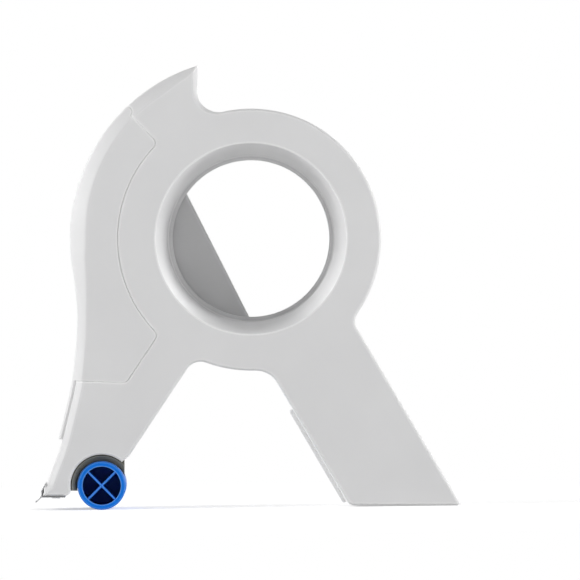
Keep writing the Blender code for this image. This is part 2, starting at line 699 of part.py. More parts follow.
def make_side_frame(finish):
    edges = frame_edges()
    frame = shape("side_frame", lambda bm: moulding(bm, edges, FRAME_DEPTH))
    combine(frame, "DIFFERENCE", "frame_hollow", lambda bm: moulding_inside(bm, edges, FRAME_DEPTH))
    combine(frame, "UNION", "frame_hub", hub_tube)
    handle = handle_outline()
    combine(frame, "UNION", "frame_handle", lambda bm: prism(bm, handle, PLATE - BITE, HANDLE_SPLIT))
    combine(frame, "DIFFERENCE", "frame_handle_hollow",
            lambda bm: prism(bm, handle_inside(), PLATE, HANDLE_SPLIT + OVERRUN))

    def posts(bm):
        for place in leg_post_places():
            post(bm, place, boss_radius(), PLATE - BITE, FRAME_DEPTH)
        for share in HANDLE_BOSS_shares:
            post(bm, handle_point(*share), boss_radius(), PLATE - BITE, HANDLE_DEPTH - WALL - GAP)

    def pilots(bm):
        reach = SCREW_LENGTH - CHEEK + HEAD_SINK + GAP
        for place in leg_post_places():
            post(bm, place, SCREW_RADIUS + SCREW_FIT, FRAME_DEPTH - reach, FRAME_DEPTH + OVERRUN)
        top = HANDLE_DEPTH - WALL
        for share in HANDLE_BOSS_shares:
            post(bm, handle_point(*share), SCREW_RADIUS + SCREW_FIT, top - reach, top + OVERRUN)
        for y in blade_rivet_places():
            rivet_hole(bm, y)

    combine(frame, "UNION", "frame_posts", posts)
    combine(frame, "DIFFERENCE", "frame_bore", hub_bore)
    combine(frame, "DIFFERENCE", "frame_opening",
            lambda bm: prism(bm, seam_outline(), -OVERRUN, FRAME_DEPTH + OVERRUN))
    combine(frame, "UNION", "frame_knuckles",
            lambda bm: [knuckle(bm, SEAM_TOP - 90.0, near, far) for near, far in knuckle_ends()])
    combine(frame, "DIFFERENCE", "frame_pilots", pilots, lambda bm: post(
        bm, HINGE, HINGE_PIN + HINGE_PIN_FIT, KNUCKLE_START + GAP, KNUCKLE_END + OVERRUN))
    frame.data.materials.append(finish)
    return [frame]


def cover_edges():
    """The cover's outer form before the seams cut it, in the same stretches as the side plate's."""
    top, *bow = arc(RIM_RADIUS, SEAM_TOP - 2 * OPENING_REACH, 180.0)
    *front, low = [point for point in front_curve() if point[1] > SEAM_FOOT_Z - OVERRUN]
    inner = SEAM_RADIUS - 2 * OVERRUN
    return [
        ([top, *clear_of(bow, top, 2 * WALL)], rim_round, True),
        ([*clear_of(front, low, 2 * WALL), low], rim_round, True),
        ([(-inner * BACKING_share, low[1]), (-inner * BACKING_share, inner)], CRISP_ROUND, False),
    ]


def tongue_outline():
    """The thumb tongue: a strip along the front curve, below the cover's lower seam."""
    curve = cut_below(cut_above(front_curve(), SEAM_FOOT_Z + OVERRUN), TONGUE_FOOT_Z)
    outer = Vector(curve[0]) - Vector(curve[1])
    inward = Vector((outer.y, -outer.x)).normalized() * (LEG_INSET - TONGUE_GAP)
    skin_depth = inward.normalized() * STEP_IN
    return [
        *[tuple(Vector(point) + skin_depth) for point in curve],
        *[tuple(Vector(point) + inward) for point in reversed(curve)],
    ]


def cover_boss_places():
    """Bosses for the far plate's screws, along the inside of the cover's rim."""
    back = WALL + boss_radius() - BITE
    places = [polar(RIM_RADIUS - back, angle) for angle in COVER_BOSS_ANGLES]
    low = cut_below(front_curve(), COVER_BOSS_LOW_Z)[-1]
    return [*places, (low[0] + back, low[1])]


def make_guard_cover(finish):
    edges = cover_edges()
    cover = shape("guard_cover", lambda bm: moulding(bm, edges, COVER_DEPTH))
    combine(cover, "DIFFERENCE", "cover_hollow", lambda bm: moulding_inside(bm, edges, COVER_DEPTH))
    combine(cover, "INTERSECT", "cover_limits",
            lambda bm: prism(bm, inset(seam_outline(), SEAM_GAP), -OVERRUN, COVER_DEPTH + OVERRUN))
    combine(cover, "UNION", "cover_bosses", lambda bm: [
        post(bm, place, boss_radius(), COVER_DEPTH - COVER_BOSS_LENGTH, COVER_DEPTH)
        for place in cover_boss_places()
    ])
    combine(cover, "UNION", "cover_tongue",
            lambda bm: prism(bm, tongue_outline(), TONGUE_EDGE, COVER_DEPTH - TONGUE_EDGE))
    combine(cover, "DIFFERENCE", "cover_knuckle_room", lambda bm: [
        post(bm, HINGE, HINGE_BARREL + GAP, near - GAP, far + GAP) for near, far in knuckle_ends()
    ])
    (_, near), (far, _) = knuckle_ends()
    combine(cover, "UNION", "cover_knuckle",
            lambda bm: knuckle(bm, SEAM_TOP + 90.0, near + GAP, far - GAP))

    def holes(bm):
        post(bm, HINGE, HINGE_PIN + HINGE_PIN_FIT, KNUCKLE_START, COVER_DEPTH + OVERRUN)
        reach = SCREW_LENGTH - FAR_PLATE + HEAD_SINK + GAP
        for place in cover_boss_places():
            post(bm, place, SCREW_RADIUS + SCREW_FIT, COVER_DEPTH - reach, COVER_DEPTH + OVERRUN)

    combine(cover, "DIFFERENCE", "cover_holes", holes)
    cover.data.materials.append(finish)
    return [cover]


def far_plate_outline():
    """The far plate: the rim's curve in front, a straight edge behind, both ends of it rounded."""
    slope = tan(radians(FAR_EDGE_ANGLE))
    top = (FAR_EDGE_X - (FAR_TOP_Z - FAR_EDGE_Z) / slope, FAR_TOP_Z)
    body = BODY_RADIUS - FAR_MARGIN
    low = line_hit((FAR_EDGE_X, FAR_EDGE_Z), -FAR_EDGE_ANGLE, body)
    crotch = touching(body, LEG_NORMAL, LEG_OFFSET - FAR_MARGIN, -1)
    front = cut_below(front_curve(), SEAM_FOOT_Z)
    bow = arc(RIM_RADIUS, SEAM_TOP + OPENING_REACH, 180.0)
    foot = Vector(crotch) + Vector(polar(1, LEG_SLOPE)) * (
        (SEAM_FOOT_Z - crotch[1]) / sin(radians(LEG_SLOPE)))
    rail = arc(body, bearing(crotch), bearing(low))
    return onward([
        *blended(low, top, bow[0], FAR_ROUND),
        *bow,
        *front[:-1],
        *blended(front[-2], front[-1], tuple(foot), SEAM_ROUND),
        *blended(front[-1], tuple(foot), crotch, SEAM_ROUND),
        *rail[:-1],
        *blended(rail[-2], low, top, SEAM_ROUND),
    ])


def make_cover_far_plate(finish):
    plate = shape("cover_far_plate", lambda bm: rounded_prism(
        bm, far_plate_outline(), FAR_PLATE_NEAR, FAR_PLATE_FAR, EDGE_ROUND, FAR_PLATE_ROUND))
    combine(plate, "DIFFERENCE", "far_plate_holes",
            *[lambda bm, place=place: sunk_hole(bm, place, FAR_PLATE_NEAR, FAR_PLATE_FAR)
              for place in cover_boss_places()])
    plate.data.materials.append(finish)
    return [plate]


def sunk_hole(bm, place, near, far):
    """A screw hole through a plate with a seat for the head in its far face."""
    seat = far - HEAD_SINK
    turned(bm, [
        (SCREW_RADIUS + SCREW_FIT, near - OVERRUN), (SCREW_RADIUS + SCREW_FIT, seat),
        (SCREW_HEAD + GAP, seat), (SCREW_HEAD + GAP, far + OVERRUN),
    ], place)


def make_screw(name, place, far, finish):
    """A self-tapping pan-head screw, driven from the far side into the seat below this face."""
    seat = far - HEAD_SINK + GAP
    screw = shape(name, lambda bm: turned(bm, [
        (SCREW_RADIUS * POINT_share, -SCREW_LENGTH), (SCREW_RADIUS, -SCREW_LENGTH + SCREW_RADIUS),
        (SCREW_RADIUS, 0.0), (SCREW_HEAD, 0.0), (SCREW_HEAD, SCREW_HEAD_THICK * CROWN_share),
        (SCREW_HEAD * CROWN_share, SCREW_HEAD_THICK),
    ]))
    screw.location = (place[0], seat, place[1])
    screw.data.materials.append(finish)
    return screw


def cheek_outline():
    """The far cheek: the lower leg, with a lobe round the roller's axle."""
    top = CHEEK_TOP_Z
    rim = [point for point in leg_rim() if point[1] < top]
    edge = LEG_OFFSET - CHEEK_TOP_INSET
    way = Vector(polar(1, LEG_SLOPE))
    base = Vector(polar(1, LEG_NORMAL)) * edge
    corner = base + way * ((top - base.y) / way.y)
    foot = base + way * ((LEG_FOOT_Z - base.y) / way.y)
    lobe = arc(CHEEK_LOBE, CHEEK_LOBE_START, CHEEK_LOBE_END, ROLLER_AXIS, HOLLOW_STEP)
    return onward([
        *blended(tuple(corner), (rim[0][0], top), rim[1], CHEEK_TOP_ROUND),
        *rim[1:-1],
        (TIP_X, -TIP_DEPTH),
        (TIP_END, -TIP_DEPTH),
        *lobe,
        tuple(foot),
        *blended(tuple(foot), tuple(corner), (rim[0][0], top), SEAM_ROUND),
    ])


def make_leg_cheek(finish):
    boss = AXLE_RADIUS + 2 * BOSS_WALL
    cheek = shape("leg_cheek", lambda bm: rounded_prism(
        bm, cheek_outline(), CHEEK_NEAR, CHEEK_FAR, far_round=EDGE_ROUND))
    collar_end = ROLLER_NEAR + ROLLER_LENGTH + GAP
    combine(cheek, "UNION", "cheek_collar",
            lambda bm: post(bm, ROLLER_AXIS, boss, collar_end, CHEEK_FAR - BITE))

    def holes(bm):
        for place in leg_post_places():
            sunk_hole(bm, place, CHEEK_NEAR, CHEEK_FAR)
        post(bm, ROLLER_AXIS, AXLE_RADIUS + SCREW_FIT, collar_end - OVERRUN, CHEEK_FAR + OVERRUN)

    combine(cheek, "DIFFERENCE", "cheek_holes", holes)
    cheek.data.materials.append(finish)
    return [cheek]


def make_core_wheel(finish):
    """The sleeve that carries the roll's core and turns on the hub."""
    flange = WHEEL_RADIUS + WHEEL_FLANGE
    web_bore = HUB_END_RADIUS + GAP
    wheel = shape("core_wheel", lambda bm: turned(bm, [
        (WHEEL_BORE, WHEEL_NEAR), (flange, WHEEL_NEAR), (flange, WHEEL_NEAR + WHEEL_FLANGE_THICK),
        (WHEEL_RADIUS, WHEEL_NEAR + WHEEL_FLANGE_THICK), (WHEEL_RADIUS, WHEEL_FAR - CRISP_ROUND),
        (WHEEL_RADIUS - CRISP_ROUND, WHEEL_FAR), (web_bore, WHEEL_FAR), (web_bore, WHEEL_FAR - WHEEL_WEB),
        (WHEEL_BORE, WHEEL_FAR - WHEEL_WEB - CRISP_ROUND),
    ], steps=FINE_STEPS, closed=True))

    def ribs(bm):
        near = WHEEL_NEAR + WHEEL_FLANGE_THICK + OVERRUN
        for i in range(CORE_RIBS):
            out = Vector(polar(1, 360.0 * i / CORE_RIBS))
            side = Vector((-out.y, out.x)) * CORE_RIB_WIDTH / 2
            low = out * (WHEEL_RADIUS - WHEEL_WALL / 2)
            high = out * (WHEEL_RADIUS + CORE_RIB)
            prism(bm, [tuple(low - side), tuple(high - side), tuple(high + side), tuple(low + side)],
                  near, WHEEL_FAR - WHEEL_WEB)

    combine(wheel, "UNION", "wheel_ribs", ribs)
    wheel.data.materials.append(finish)
    return [wheel]


def make_drag_washer(finish):
    inner = HUB_ROOT_RADIUS + GAP
    near = SHOULDER_Y + GAP
    washer = shape("drag_washer", lambda bm: turned(bm, [
        (inner, near), (SHOULDER_RADIUS, near), (SHOULDER_RADIUS, near + WASHER_THICK),
        (inner, near + WASHER_THICK),
    ], steps=FINE_STEPS, closed=True))
    washer.data.materials.append(finish)
    return [washer]


def make_hub_end_ring(finish):
    """The lip: a skirt in the hub's bore and a flange that keeps the wheel on."""
    skirt = BORE_LIP_RADIUS + LIP_SEAT - GAP
    bore = skirt - LIP_BORE_WALL
    flange = HUB_END_RADIUS + LIP_COVER
    near = HUB_END + GAP
    far = near + LIP_THICK
    ring = shape("hub_end_ring", lambda bm: turned(bm, [
        (skirt, BORE_LIP_DEPTH + GAP), (skirt, near), (flange, near), (flange, far - CRISP_ROUND),
        (flange - CRISP_ROUND, far), (bore - LIP_BEAD, far), (bore - LIP_BEAD, far - LIP_BEAD),
        (bore, far - 2 * LIP_BEAD), (bore, BORE_LIP_DEPTH + GAP + CRISP_ROUND),
        (bore + CRISP_ROUND, BORE_LIP_DEPTH + GAP),
    ], steps=FINE_STEPS, closed=True))
    ring.data.materials.append(finish)
    return [ring]


def make_roller(finish):
    """The pressing roller: a tube with crossed ribs at its open end and a blind bore for the axle."""
    near = ROLLER_NEAR
    far = near + ROLLER_LENGTH
    inner = ROLLER_RADIUS - ROLLER_WALL
    bore = AXLE_RADIUS + GAP
    boss = bore + ROLLER_BOSS_WALL
    groove = bore + SNAP_RING_WIRE
    bore_end = far - AXLE_REACH
    snap = snap_ring_place()
    roller = shape("roller", lambda bm: turned(bm, [
        (bore, bore_end), (bore, snap - SNAP_RING_WIRE), (groove, snap - SNAP_RING_WIRE),
        (groove, snap + SNAP_RING_WIRE), (bore, snap + SNAP_RING_WIRE), (bore, far), (boss, far),
        (boss, bore_end), (inner, bore_end), (inner, far), (ROLLER_RADIUS - CRISP_ROUND, far),
        (ROLLER_RADIUS, far - CRISP_ROUND), (ROLLER_RADIUS, near + CRISP_ROUND),
        (ROLLER_RADIUS - CRISP_ROUND, near), (inner, near), (inner, near + ROLLER_POCKET),
    ], steps=ROLLER_STEPS))

    def rib(bm, turn):
        out = Vector(polar(inner + ROLLER_WALL / 2, turn))
        side = Vector(polar(ROLLER_RIB / 2, turn + 90.0))
        prism(bm, [tuple(-out - side), tuple(out - side), tuple(out + side), tuple(-out + side)],
              near + GAP, near + ROLLER_POCKET + BITE)

    for turn in ROLLER_RIB_ANGLES:
        tool = combine(roller, "UNION", "roller_rib", lambda bm: rib(bm, turn))
        tool.location = (ROLLER_X, 0.0, ROLLER_Z)
    roller.location = (ROLLER_X, 0.0, ROLLER_Z)
    roller.data.materials.append(finish)
    return [roller]


def snap_ring_place():
    """Depth of the snap ring that keeps the roller on its axle."""
    return ROLLER_NEAR + ROLLER_LENGTH - AXLE_REACH + SNAP_RING_PLACE


def make_roller_axle(finish):
    tip = ROLLER_NEAR + ROLLER_LENGTH - AXLE_REACH + AXLE_RADIUS
    snap = snap_ring_place()
    groove = AXLE_RADIUS - SNAP_RING_WIRE
    head = CHEEK_FAR + GAP
    axle = shape("roller_axle", lambda bm: turned(bm, [
        (AXLE_RADIUS - CRISP_ROUND, tip), (AXLE_RADIUS, tip + CRISP_ROUND),
        (AXLE_RADIUS, snap - SNAP_RING_WIRE), (groove, snap - SNAP_RING_WIRE),
        (groove, snap + SNAP_RING_WIRE), (AXLE_RADIUS, snap + SNAP_RING_WIRE),
        (AXLE_RADIUS, head), (AXLE_HEAD, head), (AXLE_HEAD, head + AXLE_HEAD_THICK * CROWN_share),
        (AXLE_HEAD * CROWN_share, head + AXLE_HEAD_THICK),
    ], steps=COARSE_STEPS))
    axle.location = (ROLLER_X, 0.0, ROLLER_Z)
    axle.data.materials.append(finish)
    return [axle]


def make_axle_snap_ring(finish):
    """A split ring of round wire, half in the axle's groove and half in the roller's."""
    wire = circle(SNAP_RING_WIRE / 2, (AXLE_RADIUS, snap_ring_place()), WIRE_STEPS)
    way = arc(1, SNAP_RING_OPENING / 2, 360.0 - SNAP_RING_OPENING / 2, step=BARREL_STEP)
    rings = [[(x * radius, y, z * radius) for radius, y in wire] for x, z in way]
    ring = shape("axle_snap_ring", lambda bm: skin(bm, rings))
    ring.location = (ROLLER_X, 0.0, ROLLER_Z)
    ring.data.materials.append(finish)
    return [ring]


def make_roller_guard(finish):
    """The dark liner of the cut-out: a hollow cone round the roller with a flange behind the plate."""
    outer = RECESS_RADIUS - GAP
    inner = ROLLER_RADIUS + CRISP_ROUND
    back = PLATE + GAP
    far = back + GUARD_FLANGE_THICK
    profile = [
        (outer, GUARD_LIP_NEAR), (inner, GUARD_DEPTH), (inner, far), (outer + GUARD_FLANGE, far),
        (outer + GUARD_FLANGE, back), (outer, back),
    ]
    guard = shape("roller_guard", lambda bm: skin(bm, [
        [(x * radius, y, z * radius) for radius, y in profile] for x, z in arc(1, GUARD_START, GUARD_END)
    ]))
    stock = RECESS_RADIUS + GUARD_FLANGE + OVERRUN
    tool = combine(guard, "INTERSECT", "guard_limits", lambda bm: prism(
        bm, [(-stock, -GUARD_FOOT), (GUARD_BACK, -GUARD_FOOT), (GUARD_BACK, stock), (-stock, stock)],
        -OVERRUN, far + OVERRUN))
    for piece in (guard, tool):
        piece.location = (ROLLER_X, 0.0, ROLLER_Z)
    guard.data.materials.append(finish)
    return [guard]


def blade_fold():
    """Where the blade's base, flange and teeth meet, below and in front of the tip."""
    return Vector((TIP_X - GAP - BLADE_SHEET / 2, -TIP_DEPTH - GAP - BLADE_SHEET / 2))


def sheet(bm, start, end, near, far):
    """A strip of blade steel between two points of its profile."""
    way = (end - start).normalized()
    side = Vector((-way.y, way.x)) * BLADE_SHEET / 2
    prism(bm, [tuple(start - side), tuple(end - side), tuple(end + side), tuple(start + side)], near, far)


def teeth(bm, fold, near, far):
    """The serrated edge, cut along its strip in the strip's own plane."""
    way = Vector(polar(1, 180.0 + BLADE_SLOPE))
    side = Vector((-way.y, way.x)) * BLADE_SHEET / 2
    count = round((far - near) / TOOTH_PITCH)
    pitch = (far - near) / count
    edge = [(near, 0.0)]
    for i in range(count):
        edge.append((near + pitch * i, BLADE_REACH - TOOTH_DEPTH))
        edge.append((near + pitch * (i + 1 / 2), BLADE_REACH))
    edge += [(far, BLADE_REACH - TOOTH_DEPTH), (far, 0.0)]
    faces = []
    for offset in (-side, side):
        face = []
        for y, reach in edge:
            spot = fold + way * reach + offset
            face.append((spot.x, y, spot.y))
        faces.append(face)
    skin(bm, faces)


def blade_rivet_places():
    return (BLADE_START + BLADE_SCREW_ENDS, BLADE_START + BLADE_LENGTH - BLADE_SCREW_ENDS)


def rivet_x():
    return TIP_X + TIP_LENGTH * RIVET_share


def upright(bm, place, profile, steps=COARSE_STEPS):
    """A solid turned about an upright axis at (x, y), from (radius, z) points."""
    skin(bm, [[(place[0] + x, place[1] + y, z) for x, y in circle(radius, (0.0, 0.0), steps)]
              for radius, z in profile])


def rivet_hole(bm, y):
    upright(bm, (rivet_x(), y), [
        (SMALL_SCREW_RADIUS + SCREW_FIT, -TIP_DEPTH - OVERRUN),
        (SMALL_SCREW_RADIUS + SCREW_FIT, -TIP_DEPTH + WALL + OVERRUN),
    ])


def make_cutter_blade(finish):
    """The blade: a base under the tip, a flange up its front and the teeth between them."""
    fold = blade_fold()
    near = BLADE_START
    far = near + BLADE_LENGTH
    base_end = Vector((TIP_END, fold.y))
    bend = fold + Vector((BLADE_FLANGE_LEAN * BEND_share, BLADE_FLANGE / 2))
    top = fold + Vector((BLADE_FLANGE_LEAN, BLADE_FLANGE))
    front = fold - Vector((BLADE_SHEET, 0.0))
    blade = shape("cutter_blade", lambda bm: sheet(bm, front, base_end, near, far))
    combine(blade, "UNION", "blade_flange_foot", lambda bm: sheet(bm, fold, bend, near, far))
    combine(blade, "UNION", "blade_flange_top",
            lambda bm: sheet(bm, bend - (top - bend) * POINT_share / 2, top, near, far))
    combine(blade, "UNION", "blade_teeth", lambda bm: teeth(bm, fold, near + GAP / 2, far - GAP / 2))
    combine(blade, "DIFFERENCE", "blade_holes",
            lambda bm: [rivet_hole(bm, y) for y in blade_rivet_places()])
    blade.data.materials.append(finish)
    return [blade]


def make_blade_rivets(finish):
    made = []
    under = -TIP_DEPTH - GAP - BLADE_SHEET - SCREW_FIT
    over = -TIP_DEPTH + WALL + SCREW_FIT
    for number, y in enumerate(blade_rivet_places(), 1):
        rivet = shape(f"blade_rivet_{number}", lambda bm: upright(bm, (0.0, 0.0), [
            (SMALL_SCREW_HEAD, under - SMALL_SCREW_HEAD_THICK / 2), (SMALL_SCREW_HEAD, under),
            (SMALL_SCREW_RADIUS, under), (SMALL_SCREW_RADIUS, over), (SMALL_SCREW_HEAD, over),
            (SMALL_SCREW_HEAD * CROWN_share, over + SMALL_SCREW_HEAD_THICK),
        ]))
        rivet.location = (rivet_x(), y, 0.0)
        rivet.data.materials.append(finish)
        made.append(rivet)
    return made


def make_handle_cover(finish):
    """The far half of the handle, a shell with its far edge well rounded for the palm."""
    outline = handle_outline(heel_round=0.0)
    near = HANDLE_SPLIT + GAP
    cover = shape("handle_cover", lambda bm: rounded_prism(
        bm, outline, near, HANDLE_DEPTH, far_round=PALM_ROUND))
    combine(cover, "DIFFERENCE", "handle_cover_hollow", lambda bm: rounded_prism(
        bm, handle_inside(), near - OVERRUN, HANDLE_DEPTH - WALL, far_round=PALM_ROUND - WALL))
    combine(cover, "DIFFERENCE", "handle_cover_holes",
            *[lambda bm, share=share: sunk_hole(bm, handle_point(*share), near, HANDLE_DEPTH)
              for share in HANDLE_BOSS_shares])
    cover.data.materials.append(finish)
    return [cover]


def make_grip_strip(finish):
    """The finger grip along the handle's inner edge, across the joint between the halves."""
    start = Vector(handle_point(0, GRIP_TOP_share))
    end = Vector(handle_point(0, GRIP_FOOT_share))
    out = -BACK
    near = (HANDLE_DEPTH - GRIP_WIDTH) / 2
    base = out * GRIP_SEAT
    crest = out * (GRIP_SEAT + GRIP_PROUD)
    outline = [
        tuple(start + base),
        *blended(tuple(start + base), tuple(start + crest), tuple(end + crest), GRIP_ROUND),
        *blended(tuple(start + crest), tuple(end + crest), tuple(end + base), GRIP_ROUND),
        tuple(end + base),
    ]
    strip = shape("grip_strip", lambda bm: prism(bm, outline, near, near + GRIP_WIDTH))
    strip.data.materials.append(finish)
    return [strip]


def make_hinge_pin(finish):
    near = KNUCKLE_START + 2 * GAP
    pin = shape("cover_hinge_pin", lambda bm: turned(bm, [
        (HINGE_PIN - SCREW_FIT, near), (HINGE_PIN, near + SCREW_FIT),
        (HINGE_PIN, COVER_DEPTH - GAP), (HINGE_PIN - SCREW_FIT, COVER_DEPTH - GAP + SCREW_FIT / 2),
    ]))
    pin.location = (HINGE[0], 0.0, HINGE[1])
    pin.data.materials.append(finish)
    return [pin]


def make_screws(finish):
    made = []
    for name, places, far in (
        ("cheek_screw", leg_post_places(), CHEEK_FAR),
        ("handle_screw", [handle_point(*share) for share in HANDLE_BOSS_shares], HANDLE_DEPTH),
        ("far_plate_screw", cover_boss_places(), FAR_PLATE_FAR),
    ):
        for number, place in enumerate(places, 1):
            made.append(make_screw(f"{name}_{number}", place, far, finish))
    return made


def hang(pieces, pivot, name, stance):
    """Hangs pieces on an empty that stands on a joint's axis."""
    joint = bpy.data.objects.new(name, None)
    bpy.context.scene.collection.objects.link(joint)
    joint.parent = stance
    joint.location = (pivot[0], 0.0, pivot[1])
    for piece in pieces:
        piece.parent = joint
        piece.location = piece.location - joint.location
        for modifier in piece.modifiers:
            tool = modifier.object
            tool.parent = joint
            tool.location = tool.location - joint.location


def attach(pieces, stance):
    for piece in pieces:
        piece.parent = stance
        for modifier in piece.modifiers:
            modifier.object.parent = stance


def stand_up(stance, pieces):
    """Tilts the tool until its roller and its heel touch the ground, with the origin below its middle."""
    heel = Vector(handle_point(1, 1)) - Vector(ROLLER_AXIS)
    reach = heel.length
    tilt = degrees(asin(ROLLER_RADIUS / reach)) + bearing(heel)
    stance.rotation_euler = (0.0, radians(tilt), 0.0)
    bpy.context.view_layer.update()
    graph = bpy.context.evaluated_depsgraph_get()
    spots = []
    for piece in pieces:
        done = piece.evaluated_get(graph)
        spots += [done.matrix_world @ vertex.co for vertex in done.data.vertices]
    low = Vector([min(spot[axis] for spot in spots) for axis in range(3)])
    high = Vector([max(spot[axis] for spot in spots) for axis in range(3)])
    stance.location = (-(low.x + high.x) / 2, -(low.y + high.y) / 2, -low.z)


def main():
    for obj in list(bpy.data.objects):
        bpy.data.objects.remove(obj, do_unlink=True)
    white = material("white_plastic", (0.80, 0.80, 0.81), 0.45)
    blue = material("blue_plastic", (0.005, 0.20, 0.85), 0.35)
    dark = material("dark_plastic", (0.045, 0.050, 0.042), 0.5)
    steel = material("steel", (0.55, 0.55, 0.56), 0.3, 1.0)
    felt = material("felt", (0.12, 0.12, 0.12), 0.95)
    fixed = [
        *make_side_frame(white), *make_drag_washer(felt), *make_hub_end_ring(white),
        *make_leg_cheek(white), *make_roller_axle(steel), *make_axle_snap_ring(steel),
        *make_roller_guard(dark), *make_cutter_blade(steel), *make_blade_rivets(steel),
        *make_handle_cover(white), *make_grip_strip(white), *make_hinge_pin(steel),
    ]
    screws = make_screws(steel)
    fixed += [screw for screw in screws if not screw.name.startswith("far_plate")]
    cover = [*make_guard_cover(white), *make_cover_far_plate(white)]
    cover += [screw for screw in screws if screw.name.startswith("far_plate")]
    wheel = make_core_wheel(white)
    roller = make_roller(blue)
    stance = bpy.data.objects.new("stance", None)
    bpy.context.scene.collection.objects.link(stance)
    attach(fixed, stance)
    hang(cover, HINGE, "cover_axis", stance)
    hang(wheel, (0.0, 0.0), "wheel_axis", stance)
    hang(roller, ROLLER_AXIS, "roller_axis", stance)
    stand_up(stance, fixed + cover + wheel + roller)


main()
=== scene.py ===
"""Looks for the masking tape dispenser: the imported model, dressed with finer pieces and materials.

Pieces are built in the tool's design frame, with its origin on the hub's axis at the side plate's outer
face: +X from the cutter towards the handle, +Y in along the hub and +Z up. STANCE sets them down where
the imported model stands. Lengths are in metres, and named angles in degrees.
"""

import json
from itertools import pairwise
from math import acos, asin, atan2, ceil, cos, degrees, pi, radians, sin, sqrt, tan

import bmesh
import bpy
from mathutils import Matrix, Vector


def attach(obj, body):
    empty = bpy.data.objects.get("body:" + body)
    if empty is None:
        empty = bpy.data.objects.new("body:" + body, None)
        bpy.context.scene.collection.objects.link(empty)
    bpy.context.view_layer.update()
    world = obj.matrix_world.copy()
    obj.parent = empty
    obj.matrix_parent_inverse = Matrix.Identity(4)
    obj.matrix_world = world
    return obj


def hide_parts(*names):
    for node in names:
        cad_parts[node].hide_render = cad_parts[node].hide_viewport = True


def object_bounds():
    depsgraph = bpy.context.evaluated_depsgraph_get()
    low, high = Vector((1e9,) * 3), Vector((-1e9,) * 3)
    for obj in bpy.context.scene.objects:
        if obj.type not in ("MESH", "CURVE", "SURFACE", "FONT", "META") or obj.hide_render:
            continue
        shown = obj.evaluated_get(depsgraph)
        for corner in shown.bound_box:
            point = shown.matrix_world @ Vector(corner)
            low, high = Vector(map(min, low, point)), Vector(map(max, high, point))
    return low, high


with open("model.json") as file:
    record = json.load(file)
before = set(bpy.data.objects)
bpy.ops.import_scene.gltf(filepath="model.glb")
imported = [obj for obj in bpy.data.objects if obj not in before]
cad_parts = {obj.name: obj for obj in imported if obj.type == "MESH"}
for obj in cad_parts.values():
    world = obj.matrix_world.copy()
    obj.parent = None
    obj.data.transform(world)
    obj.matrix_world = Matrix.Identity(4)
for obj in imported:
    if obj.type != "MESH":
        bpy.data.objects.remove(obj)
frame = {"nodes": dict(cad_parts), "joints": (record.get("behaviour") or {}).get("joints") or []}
cad_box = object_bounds()


# Roll of tape that the tool takes
CORE_BORE = 0.0762  # inside diameter of the roll's paper core
CORE_SLACK = 0.0004  # between the core and the wheel
ROLL_RADIUS = 0.060  # largest roll

# Side plate and hub
PLATE = 0.0026
WALL = 0.0022  # the moulded walls
RING_WIDTH = 0.0131  # from the bore to the outside of its ring
HUB_ROOT_WALL = 0.0005  # where bore and outside are widest
BORE_ROUND = 0.0005
BORE_TAPER = 0.0043  # how much narrower it is at the lip
SHOULDER = 0.0048  # round the hub's root
SHOULDER_HEIGHT = 0.0016
LIP_SEAT = 0.0007  # step in the bore for the lip's skirt
HUB_WALL = 0.0013  # at the lip's skirt
SKIRT = 0.0042  # of the lip
EDGE_ROUND = 0.0008  # free edges
CRISP_ROUND = 0.0004  # crisp edges

# Core wheel
WHEEL_WALL = 0.0011
WHEEL_FLANGE = 0.0036  # beyond the barrel
WHEEL_FLANGE_THICK = 0.0012
WHEEL_WEB = 0.0018  # which runs on the hub's end
WASHER_THICK = 0.0008
CORE_RIB = 0.0003  # height
CORE_RIB_WIDTH = 0.0016
CORE_RIBS = 6

# Lip at the far end of the hub
LIP_THICK = 0.0017
LIP_COVER = 0.0011  # over the wheel's web
LIP_BORE_WALL = 0.0017
LIP_SLOPE = 0.0018  # leads into the lip
LIP_BEAD = 0.0005

# Rim that guards the roll
ROLL_ROOM = 0.0082  # from the largest roll to the outside of the rim
HORN_X = -0.0202  # its right edge
HORN_ROUND = 0.0019
TIP_TRIM = 0.0007  # how far the front curve runs on below it
RIM_ROUND = 0.0068  # at its fullest, level with the hub
FRAME_DEPTH = 0.054  # of the frame's guard wall
LEG_REACH = 0.0338  # from the rim's arc to the roller's lowest point

# Leg, tip and roller
LEG_INSET = 0.0016  # of its rim, behind the cover's
LEG_ROUND = 0.0029
TIP_LIFT = 0.0053  # above the roller's lowest point
TIP_LENGTH = 0.0083
TIP_HEEL = 0.0022  # from the tip to the cut-out
TIP_ROUND = 0.0022
ROLLER_RADIUS = 0.0091
ROLLER_WALL = 0.0019
ROLLER_NEAR = 0.0012  # from the outer face
ROLLER_END_GAP = 0.0023  # to the end of the guard wall
ROLLER_WEB = 0.001  # between the pockets and the axle's bore
ROLLER_RIB = 0.0008
ROLLER_RIB_ROUND = 0.000288
RECESS_RADIUS = 0.01166  # cut-out over the roller
RECESS_ROUND = 0.0008
RECESS_START = 182.0
RECESS_END = 50.0
LEG_SLOPE = 56.36  # of its inner edge
LEG_FOOT_BACK = 0.0103  # lower end of that edge, from the roller's axis
LEG_FOOT_RISE = 0.0111
LEG_POST_INSET = 0.0061  # from that edge
TIP_POST_INSET = 0.0037  # from the leg's rim
TIP_POST_RISE = 0.0099  # above the tip's underside
CROTCH_ROUND = 0.006
AXLE_RADIUS = 0.002
AXLE_REACH = 0.0275  # into the roller
ROLLER_BOSS_WALL = 0.0018
SNAP_RING_WIRE = 0.0007
SNAP_RING_PLACE = 0.008  # from the axle bore's end to the ring
ROLLER_RIB_ANGLES = (45.0, 135.0)
CHEEK = 0.0025  # the far cheek
CHEEK_LOBE = 0.0072  # round the axle
CHEEK_LOBE_START = 194.5
CHEEK_LOBE_END = 380.0
